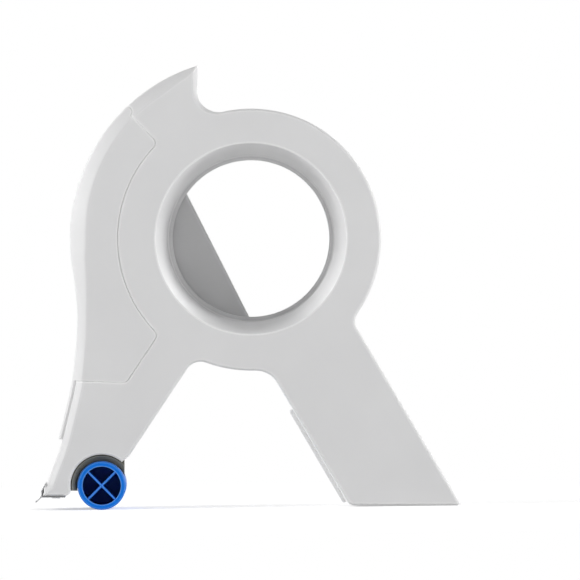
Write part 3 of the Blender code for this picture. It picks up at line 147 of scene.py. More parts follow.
CHEEK_TOP_ROUND = 0.0036
CHEEK_SETBACK = 0.0032  # below the lower seam
CHEEK_TOP_INSET = 0.0015

# Dark liner over the roller
GUARD_LIP_NEAR = 0.0005  # from the outer face
GUARD_DEPTH = 0.0030
GUARD_FLANGE = 0.0016
GUARD_FLANGE_THICK = 0.0012
GUARD_BACK = 0.0086  # its back end, from the roller's axis
GUARD_FOOT = 0.0019  # its front end, below that axis
GUARD_CLEARANCE = 0.00015  # from the roller
GUARD_START = 10.0  # of the ring that the liner is cut from
GUARD_END = 205.0

# Handle
HANDLE_ANGLE = 59.55
HANDLE_WIDTH = 0.0363
HANDLE_OFFSET = 0.01733  # its back edge, from the hub's axis
HEEL_LIFT = 0.0017  # above the roller's lowest point, before it is stood up
HANDLE_DEPTH = 0.030
HANDLE_SPLIT = 0.015  # where the halves meet
HANDLE_CLEARANCE = 0.002  # from the largest roll
HANDLE_FOOT_ROUND = 0.0034
HANDLE_HEEL_ROUND = 0.0009
NECK_ROUND = 0.005
THROAT_ROUND = 0.0095
BODY_MARGIN = 0.0007  # of the body's underside, outside the ring
GRIP_PROUD = 0.0013
GRIP_WIDTH = 0.018
GRIP_ROUND = 0.0010
GRIP_SEAT = 0.0003
PALM_ROUND = 0.0032  # its far edge
GRIP_TOP_share = 0.03
GRIP_FOOT_share = 0.96

# Guard cover
SEAM_MARGIN = 0.0013  # of the inner seam, outside the ring
SEAM_TOP = 134.3  # of the upper seam, about the hub's axis
SEAM_ROUND = 0.0025
SEAM_FOOT_INSET = 0.0212  # inner end of the lower seam, from the rim's foremost point
SEAM_FOOT_LIFT = 0.0139  # above the level of the rim's arc
SEAM_RISE = 0.0012  # at the rim
SEAM_GAP = 0.0001
SEAM_EDGE = 0.0003  # depth of the broken edges
SEAM_EDGE_WIDTH = 0.0006  # of the frame's
OPENING_REACH = 7.0  # of the plate's rim past the upper seam, before it is cut
HINGE_BARREL = 0.0016
HINGE_HOLE = 0.0009
HINGE_WEB = 0.005
KNUCKLE_START = 0.009
KNUCKLE = 0.008  # length of the frame's two
KNUCKLE_END_GAP = 0.002  # to the end of the guard wall
TONGUE_LIFT = 0.0213  # above the tip's underside
TONGUE_ROUND = 0.0008
TONGUE_INNER_ROUND = 0.0001
TONGUE_EDGE = 0.0035  # from each side of the cover
TONGUE_GAP = 0.00003
COVER_STEP = 0.0028  # how much deeper its wall is than the frame's
FAR_PLATE = 0.0022
FAR_PLATE_ROUND = 0.0012
FAR_EDGE_X = -0.0251  # a point on its straight edge
FAR_EDGE_Z = 0.0185
FAR_EDGE_ANGLE = 63.1
FAR_TOP_Z = 0.0400
FAR_ROUND = 0.008
FAR_MARGIN = 0.0035  # inside the side plate's outline
COVER_BOSS_ANGLES = (146.0, 176.0)
COVER_BOSS_RISE = 0.0103  # above the lower seam
COVER_BOSS_LENGTH = 0.012

# Blade
BLADE_SHEET = 0.00045
BLADE_START = 0.002
BLADE_END_GAP = 0.001  # to the end of the guard wall
BLADE_FLANGE = 0.0050
BLADE_FLANGE_LEAN = 0.0016
BLADE_REACH = 0.0030  # of the teeth past the fold
BLADE_SLOPE = 42.0  # of the teeth
TOOTH_PITCH = 0.0017
TOOTH_DEPTH = 0.0010
RIVET_ENDS = 0.010  # from each end of the blade

# Fasteners
SCREW_RADIUS = 0.0013
SCREW_HEAD = 0.0024
SCREW_HEAD_THICK = 0.0012
SCREW_LENGTH = 0.009
SCREW_CROWN = 70.0  # arc of the domed head
DRIVE_REACH = 0.0014  # of the cross recess's arms
DRIVE_HALF = 0.00028
SCREW_FIT = 0.0002
BOSS_WALL = 0.0013
HEAD_SINK = 0.0013
RIVET_RADIUS = 0.0009
RIVET_HEAD = 0.0016
RIVET_HEAD_THICK = 0.0003

GAP = 0.0003  # between seated pieces
OVERRUN = 0.004  # of cutters
BITE = 0.0008  # how far joined shapes run into each other
STEP_IN = 0.0001  # of a joined wall, inside its edge

# Shares
SLOPED_share = 0.6  # how much of a near edge's section is a plain slope
WEB_share = 0.7  # a knuckle's web against its barrel
POINT_share = 0.5  # a screw's point against its shank
CROWN_share = 0.6
ROOT_share = 0.68  # start of the horn's hollow back, from the notch to the roll's edge
BEND_share = 0.12  # of the blade flange's lean, at half its height
RIVET_share = 0.58  # where the rivets sit along the tip's underside
BACKING_share = 0.4  # how far in the cover's stock reaches before it is cut
NOTCH_share = 0.7208  # hollow below the horn, of the room between ring and roll

# Facets
ARC_STEP = 2.5
HOLLOW_STEP = 6.0  # for hollow corners and large rings
BARREL_STEP = 15.0  # for the hinge's barrels
ROUND_STEPS = 6
FINE_STEPS = 144
ROLLER_STEPS = 96
COARSE_STEPS = 32
CURVE_STEPS = 8
BACKTRACK = 150.0  # a sharper turn means that an outline has run back on itself

# The front curve below the hub, from the rim's arc to the tip, as shares of RIM_RADIUS and LEG_DEPTH
FRONT_shares = (
    (-0.9956, -0.072), (-0.9765, -0.159), (-0.9620, -0.257), (-0.9604, -0.339), (-0.9707, -0.449),
    (-0.9927, -0.565), (-1.0308, -0.681), (-1.0748, -0.800), (-1.1380, -0.919), (-1.1770, -1.000),
)
# Rounding of the rim by height: height as a share of RIM_RADIUS, rounding as a share of RIM_ROUND
RIM_ROUND_shares = (
    (-0.80, 0.60), (-0.58, 0.57), (-0.40, 0.57), (-0.22, 0.76), (0.00, 1.00),
    (0.30, 0.88), (0.66, 0.72), (0.86, 0.70), (0.945, 0.40), (0.96, 0.28),
)
# Posts along the leg's inner edge, as shares of the way down from the top of the cheek
LEG_POST_shares = (0.515, 0.123)
# Bosses in the handle, across it and along it
HANDLE_BOSS_shares = ((0.5, 0.30), (0.24, 0.80), (0.76, 0.80))

WHEEL_RADIUS = CORE_BORE / 2 - CORE_SLACK
WHEEL_BORE = WHEEL_RADIUS - WHEEL_WALL
HUB_ROOT_RADIUS = WHEEL_BORE - GAP
BORE_RADIUS = HUB_ROOT_RADIUS - HUB_ROOT_WALL
RING_RADIUS = BORE_RADIUS + RING_WIDTH
RIM_RADIUS = ROLL_RADIUS + ROLL_ROOM
GROUND_DEPTH = RIM_RADIUS + LEG_REACH
TIP_DEPTH = GROUND_DEPTH - TIP_LIFT
LEG_DEPTH = TIP_DEPTH + TIP_TRIM
ROLLER_Z = ROLLER_RADIUS - GROUND_DEPTH
ROLLER_LENGTH = FRAME_DEPTH - ROLLER_NEAR - ROLLER_END_GAP
ROLLER_POCKET = ROLLER_LENGTH - AXLE_REACH - ROLLER_WEB
LEG_FOOT_Z = ROLLER_Z + LEG_FOOT_RISE
SEAM_FOOT_Z = SEAM_FOOT_LIFT - RIM_RADIUS
CHEEK_TOP_Z = SEAM_FOOT_Z - CHEEK_SETBACK
BODY_RADIUS = RING_RADIUS + BODY_MARGIN
SEAM_RADIUS = RING_RADIUS + SEAM_MARGIN
KNUCKLE_END = FRAME_DEPTH - KNUCKLE_END_GAP
COVER_DEPTH = FRAME_DEPTH + COVER_STEP
BLADE_LENGTH = FRAME_DEPTH - BLADE_START - BLADE_END_GAP
BORE_LIP_DEPTH = FRAME_DEPTH - SKIRT + GAP
HUB_END = FRAME_DEPTH + GAP
BORE_LIP_RADIUS = BORE_RADIUS - BORE_TAPER
HUB_END_RADIUS = BORE_LIP_RADIUS + LIP_SEAT + HUB_WALL
SHOULDER_RADIUS = HUB_ROOT_RADIUS + SHOULDER
SHOULDER_Y = PLATE + SHOULDER_HEIGHT
WHEEL_NEAR = SHOULDER_Y + GAP + WASHER_THICK + GAP
WHEEL_FAR = HUB_END - GAP
CHEEK_NEAR = FRAME_DEPTH + GAP
CHEEK_FAR = CHEEK_NEAR + CHEEK
FAR_PLATE_NEAR = COVER_DEPTH + GAP
FAR_PLATE_FAR = FAR_PLATE_NEAR + FAR_PLATE
HANDLE_START = ROLL_RADIUS + HANDLE_CLEARANCE
BOSS_RADIUS = SCREW_RADIUS + BOSS_WALL
SCREW_HOLE = SCREW_RADIUS + SCREW_FIT
SNAP_RING_Y = ROLLER_NEAR + ROLLER_LENGTH - AXLE_REACH + SNAP_RING_PLACE
RIVET_YS = (BLADE_START + RIVET_ENDS, BLADE_START + BLADE_LENGTH - RIVET_ENDS)
QUARTER = [pi / 2 * i / ROUND_STEPS for i in range(ROUND_STEPS + 1)]  # in radians
# Near and far end of the frame's two knuckles
KNUCKLES = ((KNUCKLE_START, KNUCKLE_START + KNUCKLE), (KNUCKLE_END - KNUCKLE, KNUCKLE_END))


def polar(radius, angle, centre=(0.0, 0.0)):
    """The point at this radius and angle about a centre, as (x, z)."""
    return (centre[0] + radius * cos(radians(angle)), centre[1] + radius * sin(radians(angle)))


def toward(angle):
    return Vector(polar(1, angle))


def bearing(point):
    return degrees(atan2(point[1], point[0]))


def arc(radius, start, end, centre=(0.0, 0.0), step=ARC_STEP):
    """Points along an arc, its two ends included."""
    count = max(1, ceil(abs(end - start) / step))
    return [polar(radius, start + (end - start) * i / count, centre) for i in range(count + 1)]


def circle(radius, centre=(0.0, 0.0), steps=COARSE_STEPS):
    return [polar(radius, 360 * i / steps, centre) for i in range(steps)]


def bar(start, end, side):
    """A rectangle about the line between two points."""
    return [start - side, end - side, end + side, start + side]


def smooth(points):
    """A Catmull-Rom curve through the points."""
    ends = [Vector(point) for point in (points[0], *points, points[-1])]
    out = []
    for a, b, c, d in zip(ends, ends[1:], ends[2:], ends[3:]):
        for i in range(CURVE_STEPS):
            t = i / CURVE_STEPS
            point = b * 2 + (c - a) * t
            point += (a * 2 - b * 5 + c * 4 - d) * t**2
            point += (b * 3 - a - c * 3 + d) * t**3
            out.append(point / 2)
    return [*out, points[-1]]


def blended(before, corner, after, radius):
    """The arc that rounds a corner between two neighbouring points."""
    here = Vector(corner)
    back = (Vector(before) - here).normalized()
    on = (Vector(after) - here).normalized()
    half = back.angle(on) / 2
    reach = radius / tan(half)
    centre = here + (back + on).normalized() * radius / sin(half)
    first = here + back * reach - centre
    turn = first.angle_signed(here + on * reach - centre)
    return [centre + Matrix.Rotation(-turn * i / ROUND_STEPS, 2) @ first for i in range(ROUND_STEPS + 1)]


def inset(outline, distance):
    """An anticlockwise outline moved inwards, by one distance or by one for each point."""
    distances = distance if isinstance(distance, list) else [distance] * len(outline)
    points = [Vector(point) for point in outline]
    moved = []
    for i, here in enumerate(points):
        first = (here - points[i - 1]).orthogonal().normalized()
        second = (points[(i + 1) % len(points)] - here).orthogonal().normalized()
        moved.append(here + (first + second) / (1 + first.dot(second)) * distances[i])
    return moved


def onward(outline):
    """The outline without points that a rounded corner runs back past."""
    points = [Vector(point) for point in outline]
    i = 0
    while i < len(points):
        before = points[i] - points[i - 1]
        after = points[(i + 1) % len(points)] - points[i]
        if before.angle(after, 0.0) > radians(BACKTRACK):
            points.pop(i)
            i = max(i - 2, 0)
        else:
            i += 1
    return points


def clear_of(points, corner, distance=2 * WALL):
    """The points that are further than this from a corner."""
    return [point for point in points if (Vector(point) - Vector(corner)).length > distance]


def line_hit(point, angle, radius):
    """Where the line through a point at this angle leaves a circle about the hub's axis."""
    start = Vector(point)
    way = toward(angle)
    along = -start.dot(way)
    miss = (start + way * along).length
    return start + way * (along + sqrt(radius**2 - miss**2))


def above(points, level):
    """The part of a falling line of points above a level, ending on it."""
    kept = [point for point in points if point[1] > level]
    here, after = kept[-1], points[len(kept)]
    share = (level - here[1]) / (after[1] - here[1])
    return [*kept, (here[0] + share * (after[0] - here[0]), level)]


def below(points, level):
    """The part of a falling line of points below a level, starting on it."""
    return [above(points, level)[-1], *[point for point in points if point[1] < level]]


def at_depth(outline, y):
    return [(x, y, z) for x, z in outline]


def skin(bm, rings, closed=False):
    """Faces over rings of equal length, with capped ends unless they close on themselves."""
    rows = [[bm.verts.new(point) for point in ring] for ring in rings]
    if not closed:
        bm.faces.new(rows[0])
        bm.faces.new(reversed(rows[-1]))
    for near, far in pairwise([*rows, rows[0]] if closed else rows):
        for i in range(len(near)):
            bm.faces.new((near[i - 1], near[i], far[i], far[i - 1]))


def prism(bm, outline, near, far):
    skin(bm, [at_depth(outline, near), at_depth(outline, far)])


def rounded_prism(bm, outline, near, far, near_round=0.0, far_round=0.0):
    """A prism with rounded near and far edges; near_round may hold a radius for each point."""
    rings = []
    if near_round:
        radii = near_round if isinstance(near_round, list) else [near_round] * len(outline)
        for i, turn in enumerate(QUARTER[:-1]):
            slope = SLOPED_share * i / ROUND_STEPS
            out = (1 - SLOPED_share) * sin(turn) + slope
            down = (1 - SLOPED_share) * (1 - cos(turn)) + slope
            points = inset(outline, [r * (1 - out) for r in radii])
            rings.append([(x, near + r * down, z) for (x, z), r in zip(points, radii)])
        rings.append([(x, near + r, z) for (x, z), r in zip(outline, radii)])
    else:
        rings.append(at_depth(outline, near))
    for turn in QUARTER if far_round else ():
        points = inset(outline, far_round * (1 - cos(turn)))
        rings.append(at_depth(points, far - far_round * (1 - sin(turn))))
    if not far_round:
        rings.append(at_depth(outline, far))
    skin(bm, rings)


def turned(bm, profile, centre=(0.0, 0.0), steps=COARSE_STEPS, closed=False):
    """A solid turned about an axis along Y, from (radius, y) points; closed where it has a bore."""
    skin(bm, [at_depth(circle(radius, centre, steps), y) for radius, y in profile], closed)


def upright(bm, place, profile):
    """A solid turned about an upright axis at (x, y), from (radius, z) points."""
    skin(bm, [[(x, y, z) for x, y in circle(radius, place)] for radius, z in profile])


def posts(bm, places, radius, near, far):
    for place in places:
        prism(bm, circle(radius, place), near, far)


def sunk_holes(bm, places, near, far):
    """Screw holes through a plate, with a seat for each head in its far face."""
    seat = far - HEAD_SINK
    for place in places:
        turned(bm, [
            (SCREW_HOLE, near - OVERRUN), (SCREW_HOLE, seat),
            (SCREW_HEAD + GAP, seat), (SCREW_HEAD + GAP, far + OVERRUN),
        ], place)


def in_scene(name, data):
    obj = bpy.data.objects.new(name, data)
    bpy.context.scene.collection.objects.link(obj)
    return obj


def shape(name, maker, *form, **options):
    """A mesh object made by a function that adds to a bmesh, given what follows it."""
    bm = bmesh.new()
    maker(bm, *form, **options)
    bmesh.ops.recalc_face_normals(bm, faces=bm.faces)
    mesh = bpy.data.meshes.new(name)
    bm.to_mesh(mesh)
    bm.free()
    return in_scene(name, mesh)


def change(target, operation, maker, *form, **options):
    """Cuts, joins or intersects the target with a tool body, which is then removed."""
    tool = shape("tool", maker, *form, **options)
    modifier = target.modifiers.new("change", "BOOLEAN")
    modifier.operation = operation
    modifier.object = tool
    modifier.solver = "EXACT"
    old = target.data
    changed = target.evaluated_get(bpy.context.evaluated_depsgraph_get())
    target.data = bpy.data.meshes.new_from_object(changed)
    target.modifiers.clear()
    bpy.data.objects.remove(tool)
    bpy.data.meshes.remove(old)


def cut(target, *form, **options):
    change(target, "DIFFERENCE", *form, **options)


def join(target, *form, **options):
    change(target, "UNION", *form, **options)


# The outer curve of the front below the hub, carried on down to the tip
FRONT = smooth([(x * RIM_RADIUS, z * LEG_DEPTH) for x, z in FRONT_shares])


def leg_rim():
    """The leg's own front edge, from the lower seam to the tip."""
    falling = below(inset(FRONT, LEG_INSET)[1:-1], SEAM_FOOT_Z + OVERRUN)
    last = falling[-1] + (falling[-1] - falling[-2]) * CURVE_STEPS
    whole = above([*falling, last], -TIP_DEPTH)
    return [*clear_of(whole, whole[-1]), whole[-1]]


# Places that several pieces share
LEG_RIM = leg_rim()
BACK_NORMAL = 90.0 - HANDLE_ANGLE
BACK = toward(BACK_NORMAL)
TIP_X = LEG_RIM[-1][0]
TIP_END = TIP_X + TIP_LENGTH
ROLLER_X = TIP_END + TIP_HEEL + RECESS_RADIUS
LEG_FOOT_X = ROLLER_X + LEG_FOOT_BACK
LEG_NORMAL = LEG_SLOPE - 90.0
LEG_OFFSET = Vector((LEG_FOOT_X, LEG_FOOT_Z)).dot(toward(LEG_NORMAL))
ROLLER_AXIS = (ROLLER_X, ROLLER_Z)
HINGE = polar(RIM_RADIUS - HINGE_BARREL, SEAM_TOP)
RIVET_X = TIP_X + TIP_LENGTH * RIVET_share


def touching(radius, normal, offset, side):
    """The point this far from the hub's axis whose distance along a normal is the offset."""
    return polar(radius, normal + side * degrees(acos(offset / radius)))


def hollow_corner(body, normal, offset, side, radius):
    """The hollow arc between a round body and a straight edge, from the body to the edge."""
    centre = touching(body + radius, normal, offset + radius, side)
    to_body = bearing(centre) + 180.0
    turn = (normal + 180.0 - to_body + 180.0) % 360.0 - 180.0
    return arc(radius, to_body, to_body + turn, centre, HOLLOW_STEP)


def rim_round(point):
    """Rounding of the rim at this height."""
    table = RIM_ROUND_shares
    share = min(max(point[1] / RIM_RADIUS, table[0][0]), table[-1][0])
    for (low, first), (high, last) in pairwise(table):
        if share <= high:
            return (first + (last - first) * (share - low) / (high - low)) * RIM_ROUND


def handle_point(across, along):
    """A place on the handle: across it from the grip edge, along it from the roll to the foot."""
    start = BACK * (HANDLE_OFFSET - HANDLE_WIDTH * (1 - across))
    foot = (start.y - (HEEL_LIFT - GROUND_DEPTH)) / sin(radians(HANDLE_ANGLE))
    return start + toward(-HANDLE_ANGLE) * (HANDLE_START + (foot - HANDLE_START) * along)


HANDLE_BOSSES = [handle_point(*share) for share in HANDLE_BOSS_shares]
TOE = handle_point(0, 1)
HEEL = handle_point(1, 1)


def stretch(points, rounding=EDGE_ROUND, wall=False):
    """Points of a moulding's edge, each with its rounding and whether a wall stands behind it."""
    return [(point, rounding(point) if callable(rounding) else rounding, wall) for point in points]


def frame_edges():
    """The side plate's outline from the handle's heel round to its toe."""
    tip_angle = degrees(acos(HORN_X / RIM_RADIUS))
    neck = hollow_corner(RING_RADIUS, BACK_NORMAL, HANDLE_OFFSET, -1, NECK_ROUND)
    notch_round = (ROLL_RADIUS - RING_RADIUS) * NOTCH_share
    notch = hollow_corner(RING_RADIUS, 0.0, HORN_X, 1, notch_round)
    crotch = hollow_corner(BODY_RADIUS, LEG_NORMAL, LEG_OFFSET, -1, CROTCH_ROUND)
    grip_offset = HANDLE_WIDTH - HANDLE_OFFSET
    throat = hollow_corner(BODY_RADIUS, BACK_NORMAL + 180.0, grip_offset, 1, THROAT_ROUND)
    horn_foot = sqrt((ROLL_RADIUS + GAP) ** 2 - HORN_X**2)
    horn_root = notch[-1][1] + (horn_foot - notch[-1][1]) * ROOT_share
    horn = polar(RIM_RADIUS, tip_angle)
    recess_x = ROLLER_X - RECESS_RADIUS
    under_tip = blended(LEG_RIM[-1], (recess_x, -TIP_DEPTH), (recess_x, ROLLER_Z), TIP_ROUND)
    growth = (HORN_ROUND - EDGE_ROUND) / (len(notch) - 1)
    return [
        *stretch(blended(TOE, HEEL, neck[-1], HANDLE_HEEL_ROUND)),
        *stretch(neck[::-1]),
        *stretch(arc(RING_RADIUS, bearing(neck[0]), bearing(notch[0]))[1:-1]),
        *[(point, EDGE_ROUND + growth * i, False) for i, point in enumerate(notch)],
        *stretch([(HORN_X, horn_root)], HORN_ROUND),
        *stretch([(HORN_X, horn_foot), horn], HORN_ROUND, True),
        *stretch(clear_of(arc(RIM_RADIUS, tip_angle, SEAM_TOP + OPENING_REACH), horn), rim_round, True),
        *stretch(LEG_RIM[:-1], LEG_ROUND, True),
        *stretch([(TIP_X, -TIP_DEPTH), (TIP_END - EDGE_ROUND, -TIP_DEPTH)], EDGE_ROUND, True),
        *stretch(under_tip, CRISP_ROUND),
        *stretch(arc(RECESS_RADIUS, RECESS_START, RECESS_END, ROLLER_AXIS), RECESS_ROUND),
        *stretch([(LEG_FOOT_X, LEG_FOOT_Z)]),
        *stretch(crotch[::-1]),
        *stretch(arc(BODY_RADIUS, bearing(crotch[0]), bearing(throat[0]))[1:-1]),
        *stretch(throat),
        *stretch(blended(throat[-1], TOE, HEEL, HANDLE_FOOT_ROUND)),
    ]


def moulding(bm, edges, depth):
    """The outer form of a moulded shell: rounded towards the side that the hand sees."""
    points, rounds, _ = zip(*edges)
    rounded_prism(bm, points, 0.0, depth, list(rounds))


def moulding_inside(bm, edges, depth):
    """The hollow of the same shell, open where no wall stands behind the edge."""
    points, rounds, walls = zip(*edges)
    hollow = inset(points, [WALL if wall else -OVERRUN for wall in walls])
    rounded_prism(bm, hollow, PLATE, depth + OVERRUN, [max(r - WALL, CRISP_ROUND) for r in rounds])


def hub_tube(bm):
    """The tapered tube that carries the roll, with its shoulder; the bore is cut later."""
    core = BORE_LIP_RADIUS - WALL
    turned(bm, [
        (core, PLATE - BITE), (SHOULDER_RADIUS, PLATE - BITE), (SHOULDER_RADIUS, SHOULDER_Y),
        (HUB_ROOT_RADIUS, SHOULDER_Y), (HUB_ROOT_RADIUS, SHOULDER_Y + SHOULDER),
        (HUB_END_RADIUS, BORE_LIP_DEPTH), (HUB_END_RADIUS, HUB_END), (core, HUB_END),
    ], steps=FINE_STEPS, closed=True)


def hub_bore(bm):
    """The bore: a rounded mouth, a long taper and the step that the lip's skirt sits in."""
    seat = BORE_LIP_RADIUS + LIP_SEAT
    turned(bm, [
        (BORE_RADIUS + BORE_ROUND, -OVERRUN),
        *[(BORE_RADIUS + BORE_ROUND * (1 - sin(t)), BORE_ROUND * (1 - cos(t))) for t in QUARTER],
        (BORE_LIP_RADIUS, BORE_LIP_DEPTH), (seat, BORE_LIP_DEPTH), (seat, HUB_END + OVERRUN),
    ], steps=FINE_STEPS)


def seam_outline():
    """The side plate's opening for the guard cover, with the hinge barrel's round seat."""
    outside = RIM_RADIUS + 2 * OVERRUN
    foot = (SEAM_FOOT_INSET - RIM_RADIUS, SEAM_FOOT_Z)
    front = (-outside, SEAM_FOOT_Z + SEAM_RISE)
    low = line_hit(foot, LEG_SLOPE + 180.0, SEAM_RADIUS)
    bow = arc(SEAM_RADIUS, bearing(low) % 360.0, SEAM_TOP)
    return onward([
        *blended(bow[-2], bow[-1], HINGE, SEAM_ROUND),
        *arc(HINGE_BARREL + GAP, SEAM_TOP - 180.0, SEAM_TOP, HINGE, BARREL_STEP),
        *arc(outside, SEAM_TOP, 180.0, step=HOLLOW_STEP),
        front,
        *blended(front, foot, low, SEAM_ROUND),
        *blended(foot, low, bow[1], SEAM_ROUND),
        *bow[1:-1],
    ])


SEAM = seam_outline()


def knuckles(bm, way, spans):
    """Hinge knuckles, each with the web that runs from it into its wall."""
    along = Vector(polar(HINGE_WEB, way))
    across = Vector(polar(HINGE_BARREL * WEB_share, way + 90.0))
    spread = degrees(asin(WEB_share))
    end = Vector(HINGE) + along
    outline = arc(HINGE_BARREL, way + spread, way + 360.0 - spread, HINGE, BARREL_STEP)
    for near, far in spans:
        prism(bm, [*outline, end - across, end + across], near, far)


def leg_posts():
    """Two posts along the leg's inner edge and one over the tip."""
    heights = [CHEEK_TOP_Z + (LEG_FOOT_Z - CHEEK_TOP_Z) * share for share in LEG_POST_shares]
    edges = [LEG_FOOT_X + (z - LEG_FOOT_Z) / tan(radians(LEG_SLOPE)) for z in heights]
    rim_x, rim_z = above(LEG_RIM, TIP_POST_RISE - TIP_DEPTH)[-1]
    return [*[(x - LEG_POST_INSET, z) for x, z in zip(edges, heights)], (rim_x + TIP_POST_INSET, rim_z)]


def handle_outline(foot_round=HANDLE_FOOT_ROUND, heel_round=HANDLE_HEEL_ROUND):
    """The handle's hollow part, clear of the roll, just inside the side plate's edge."""
    grip_side = touching(HANDLE_START, BACK_NORMAL + 180.0, HANDLE_WIDTH - HANDLE_OFFSET, 1)
    back_side = touching(HANDLE_START, BACK_NORMAL, HANDLE_OFFSET, -1)
    first, *bow, last = arc(HANDLE_START, bearing(back_side), bearing(grip_side))
    return inset([
        first, *clear_of(clear_of(bow, first), last), last,
        *(blended(last, TOE, HEEL, foot_round) if foot_round else [TOE]),
        *(blended(TOE, HEEL, first, heel_round) if heel_round else [HEEL]),
    ], STEP_IN)


# The inner face of the handle's wall, which keeps square corners
HANDLE_INSIDE = inset(handle_outline(0.0, 0.0), WALL)


def rivet_holes(bm):
    for y in RIVET_YS:
        upright(bm, (RIVET_X, y), [
            (RIVET_RADIUS + SCREW_FIT, -TIP_DEPTH - OVERRUN),
            (RIVET_RADIUS + SCREW_FIT, -TIP_DEPTH + WALL + OVERRUN),
        ])


def make_side_frame():
    def bosses(bm):
        posts(bm, leg_posts(), BOSS_RADIUS, PLATE - BITE, FRAME_DEPTH)
        posts(bm, HANDLE_BOSSES, BOSS_RADIUS, PLATE - BITE, HANDLE_DEPTH - WALL - GAP)

    def holes(bm):
        reach = SCREW_LENGTH - CHEEK + HEAD_SINK + GAP
        for places, far in ((leg_posts(), FRAME_DEPTH), (HANDLE_BOSSES, HANDLE_DEPTH - WALL)):
            posts(bm, places, SCREW_HOLE, far - reach, far + OVERRUN)
        rivet_holes(bm)
        posts(bm, [HINGE], HINGE_HOLE, KNUCKLE_START + GAP, KNUCKLE_END + OVERRUN)

    edges = frame_edges()
    side = shape("side_frame_look", moulding, edges, FRAME_DEPTH)
    cut(side, moulding_inside, edges, FRAME_DEPTH)
    join(side, hub_tube)
    join(side, prism, handle_outline(), PLATE - BITE, HANDLE_SPLIT)
    cut(side, prism, HANDLE_INSIDE, PLATE, HANDLE_SPLIT + OVERRUN)
    join(side, bosses)
    cut(side, hub_bore)
    cut(side, prism, SEAM, -OVERRUN, FRAME_DEPTH + OVERRUN)
    cut(side, skin, [at_depth(inset(SEAM, -2 * SEAM_EDGE_WIDTH), -SEAM_EDGE), at_depth(SEAM, SEAM_EDGE)])
    join(side, knuckles, SEAM_TOP - 90.0, KNUCKLES)
    cut(side, holes)
    return [side]


def tongue(bm):
    """The thumb tongue: a strip along the front curve, rounded outside and crisp beside the leg."""
    curve = [Vector(point) for point in above(below(FRONT, SEAM_FOOT_Z + OVERRUN), TONGUE_LIFT - TIP_DEPTH)]
    inward = -(curve[0] - curve[1]).orthogonal().normalized()
    outline = [
        *[point + inward * STEP_IN for point in curve],
        *[point + inward * (LEG_INSET - TONGUE_GAP) for point in reversed(curve)],
    ]
    rounds = [TONGUE_ROUND] * len(curve) + [TONGUE_INNER_ROUND] * len(curve)
    rounded_prism(bm, outline, TONGUE_EDGE, COVER_DEPTH - TONGUE_EDGE, rounds)


def cover_bosses():
    """Bosses for the far plate's screws, along the inside of the cover's rim."""
    back = WALL + BOSS_RADIUS - BITE
    low = above(FRONT, SEAM_FOOT_Z + COVER_BOSS_RISE)[-1]
    return [*[polar(RIM_RADIUS - back, angle) for angle in COVER_BOSS_ANGLES], (low[0] + back, low[1])]


def make_guard_cover():
    def knuckle_room(bm):
        for near, far in KNUCKLES:
            posts(bm, [HINGE], HINGE_BARREL + GAP, near - GAP, far + GAP)

    def holes(bm):
        posts(bm, [HINGE], HINGE_HOLE, KNUCKLE_START, COVER_DEPTH + OVERRUN)
        reach = SCREW_LENGTH - FAR_PLATE + HEAD_SINK + GAP
        posts(bm, cover_bosses(), SCREW_HOLE, COVER_DEPTH - reach, COVER_DEPTH + OVERRUN)

    top, *bow = arc(RIM_RADIUS, SEAM_TOP - 2 * OPENING_REACH, 180.0)
    *front, low = [point for point in FRONT if point[1] > SEAM_FOOT_Z - OVERRUN]
    inner = SEAM_RADIUS - 2 * OVERRUN
    edges = [
        *stretch([top, *clear_of(bow, top), *clear_of(front, low), low], rim_round, True),
        *stretch([(-inner * BACKING_share, low[1]), (-inner * BACKING_share, inner)], CRISP_ROUND),
    ]
    limit = inset(SEAM, SEAM_GAP)
    (_, near), (far, _) = KNUCKLES
    cover = shape("guard_cover_look", moulding, edges, COVER_DEPTH)
    cut(cover, moulding_inside, edges, COVER_DEPTH)
    change(cover, "INTERSECT", prism, limit, -OVERRUN, COVER_DEPTH + OVERRUN)
    change(cover, "INTERSECT", skin, [
        at_depth(inset(SEAM, SEAM_GAP + SEAM_EDGE * CROWN_share), -SEAM_EDGE / 2),
        at_depth(limit, SEAM_EDGE / 2),
        at_depth(limit, COVER_DEPTH + OVERRUN),
    ])
    join(cover, posts, cover_bosses(), BOSS_RADIUS, COVER_DEPTH - COVER_BOSS_LENGTH, COVER_DEPTH)
    join(cover, tongue)
    cut(cover, knuckle_room)
    join(cover, knuckles, SEAM_TOP + 90.0, [(near + GAP, far - GAP)])
    cut(cover, holes)
    return [cover]


def make_cover_far_plate():
    """The far plate: the rim's curve in front and a straight edge behind."""
    top = (FAR_EDGE_X - (FAR_TOP_Z - FAR_EDGE_Z) / tan(radians(FAR_EDGE_ANGLE)), FAR_TOP_Z)
    body = BODY_RADIUS - FAR_MARGIN
    low = line_hit((FAR_EDGE_X, FAR_EDGE_Z), -FAR_EDGE_ANGLE, body)
    crotch = Vector(touching(body, LEG_NORMAL, LEG_OFFSET - FAR_MARGIN, -1))
    *front, corner = above(FRONT, SEAM_FOOT_Z)
    bow = arc(RIM_RADIUS, SEAM_TOP + OPENING_REACH, 180.0)
    foot = crotch + toward(LEG_SLOPE) * ((SEAM_FOOT_Z - crotch.y) / sin(radians(LEG_SLOPE)))
    rail = arc(body, bearing(crotch), bearing(low))[:-1]
    outline = onward([
        *blended(low, top, bow[0], FAR_ROUND),
        *bow,
        *front,
        *blended(front[-1], corner, foot, SEAM_ROUND),
        *blended(corner, foot, crotch, SEAM_ROUND),
        *rail,
        *blended(rail[-1], low, top, SEAM_ROUND),
    ])
    plate = shape("cover_far_plate_look", rounded_prism, outline, FAR_PLATE_NEAR, FAR_PLATE_FAR,
                  EDGE_ROUND, FAR_PLATE_ROUND)
    cut(plate, sunk_holes, cover_bosses(), FAR_PLATE_NEAR, FAR_PLATE_FAR)
    return [plate]


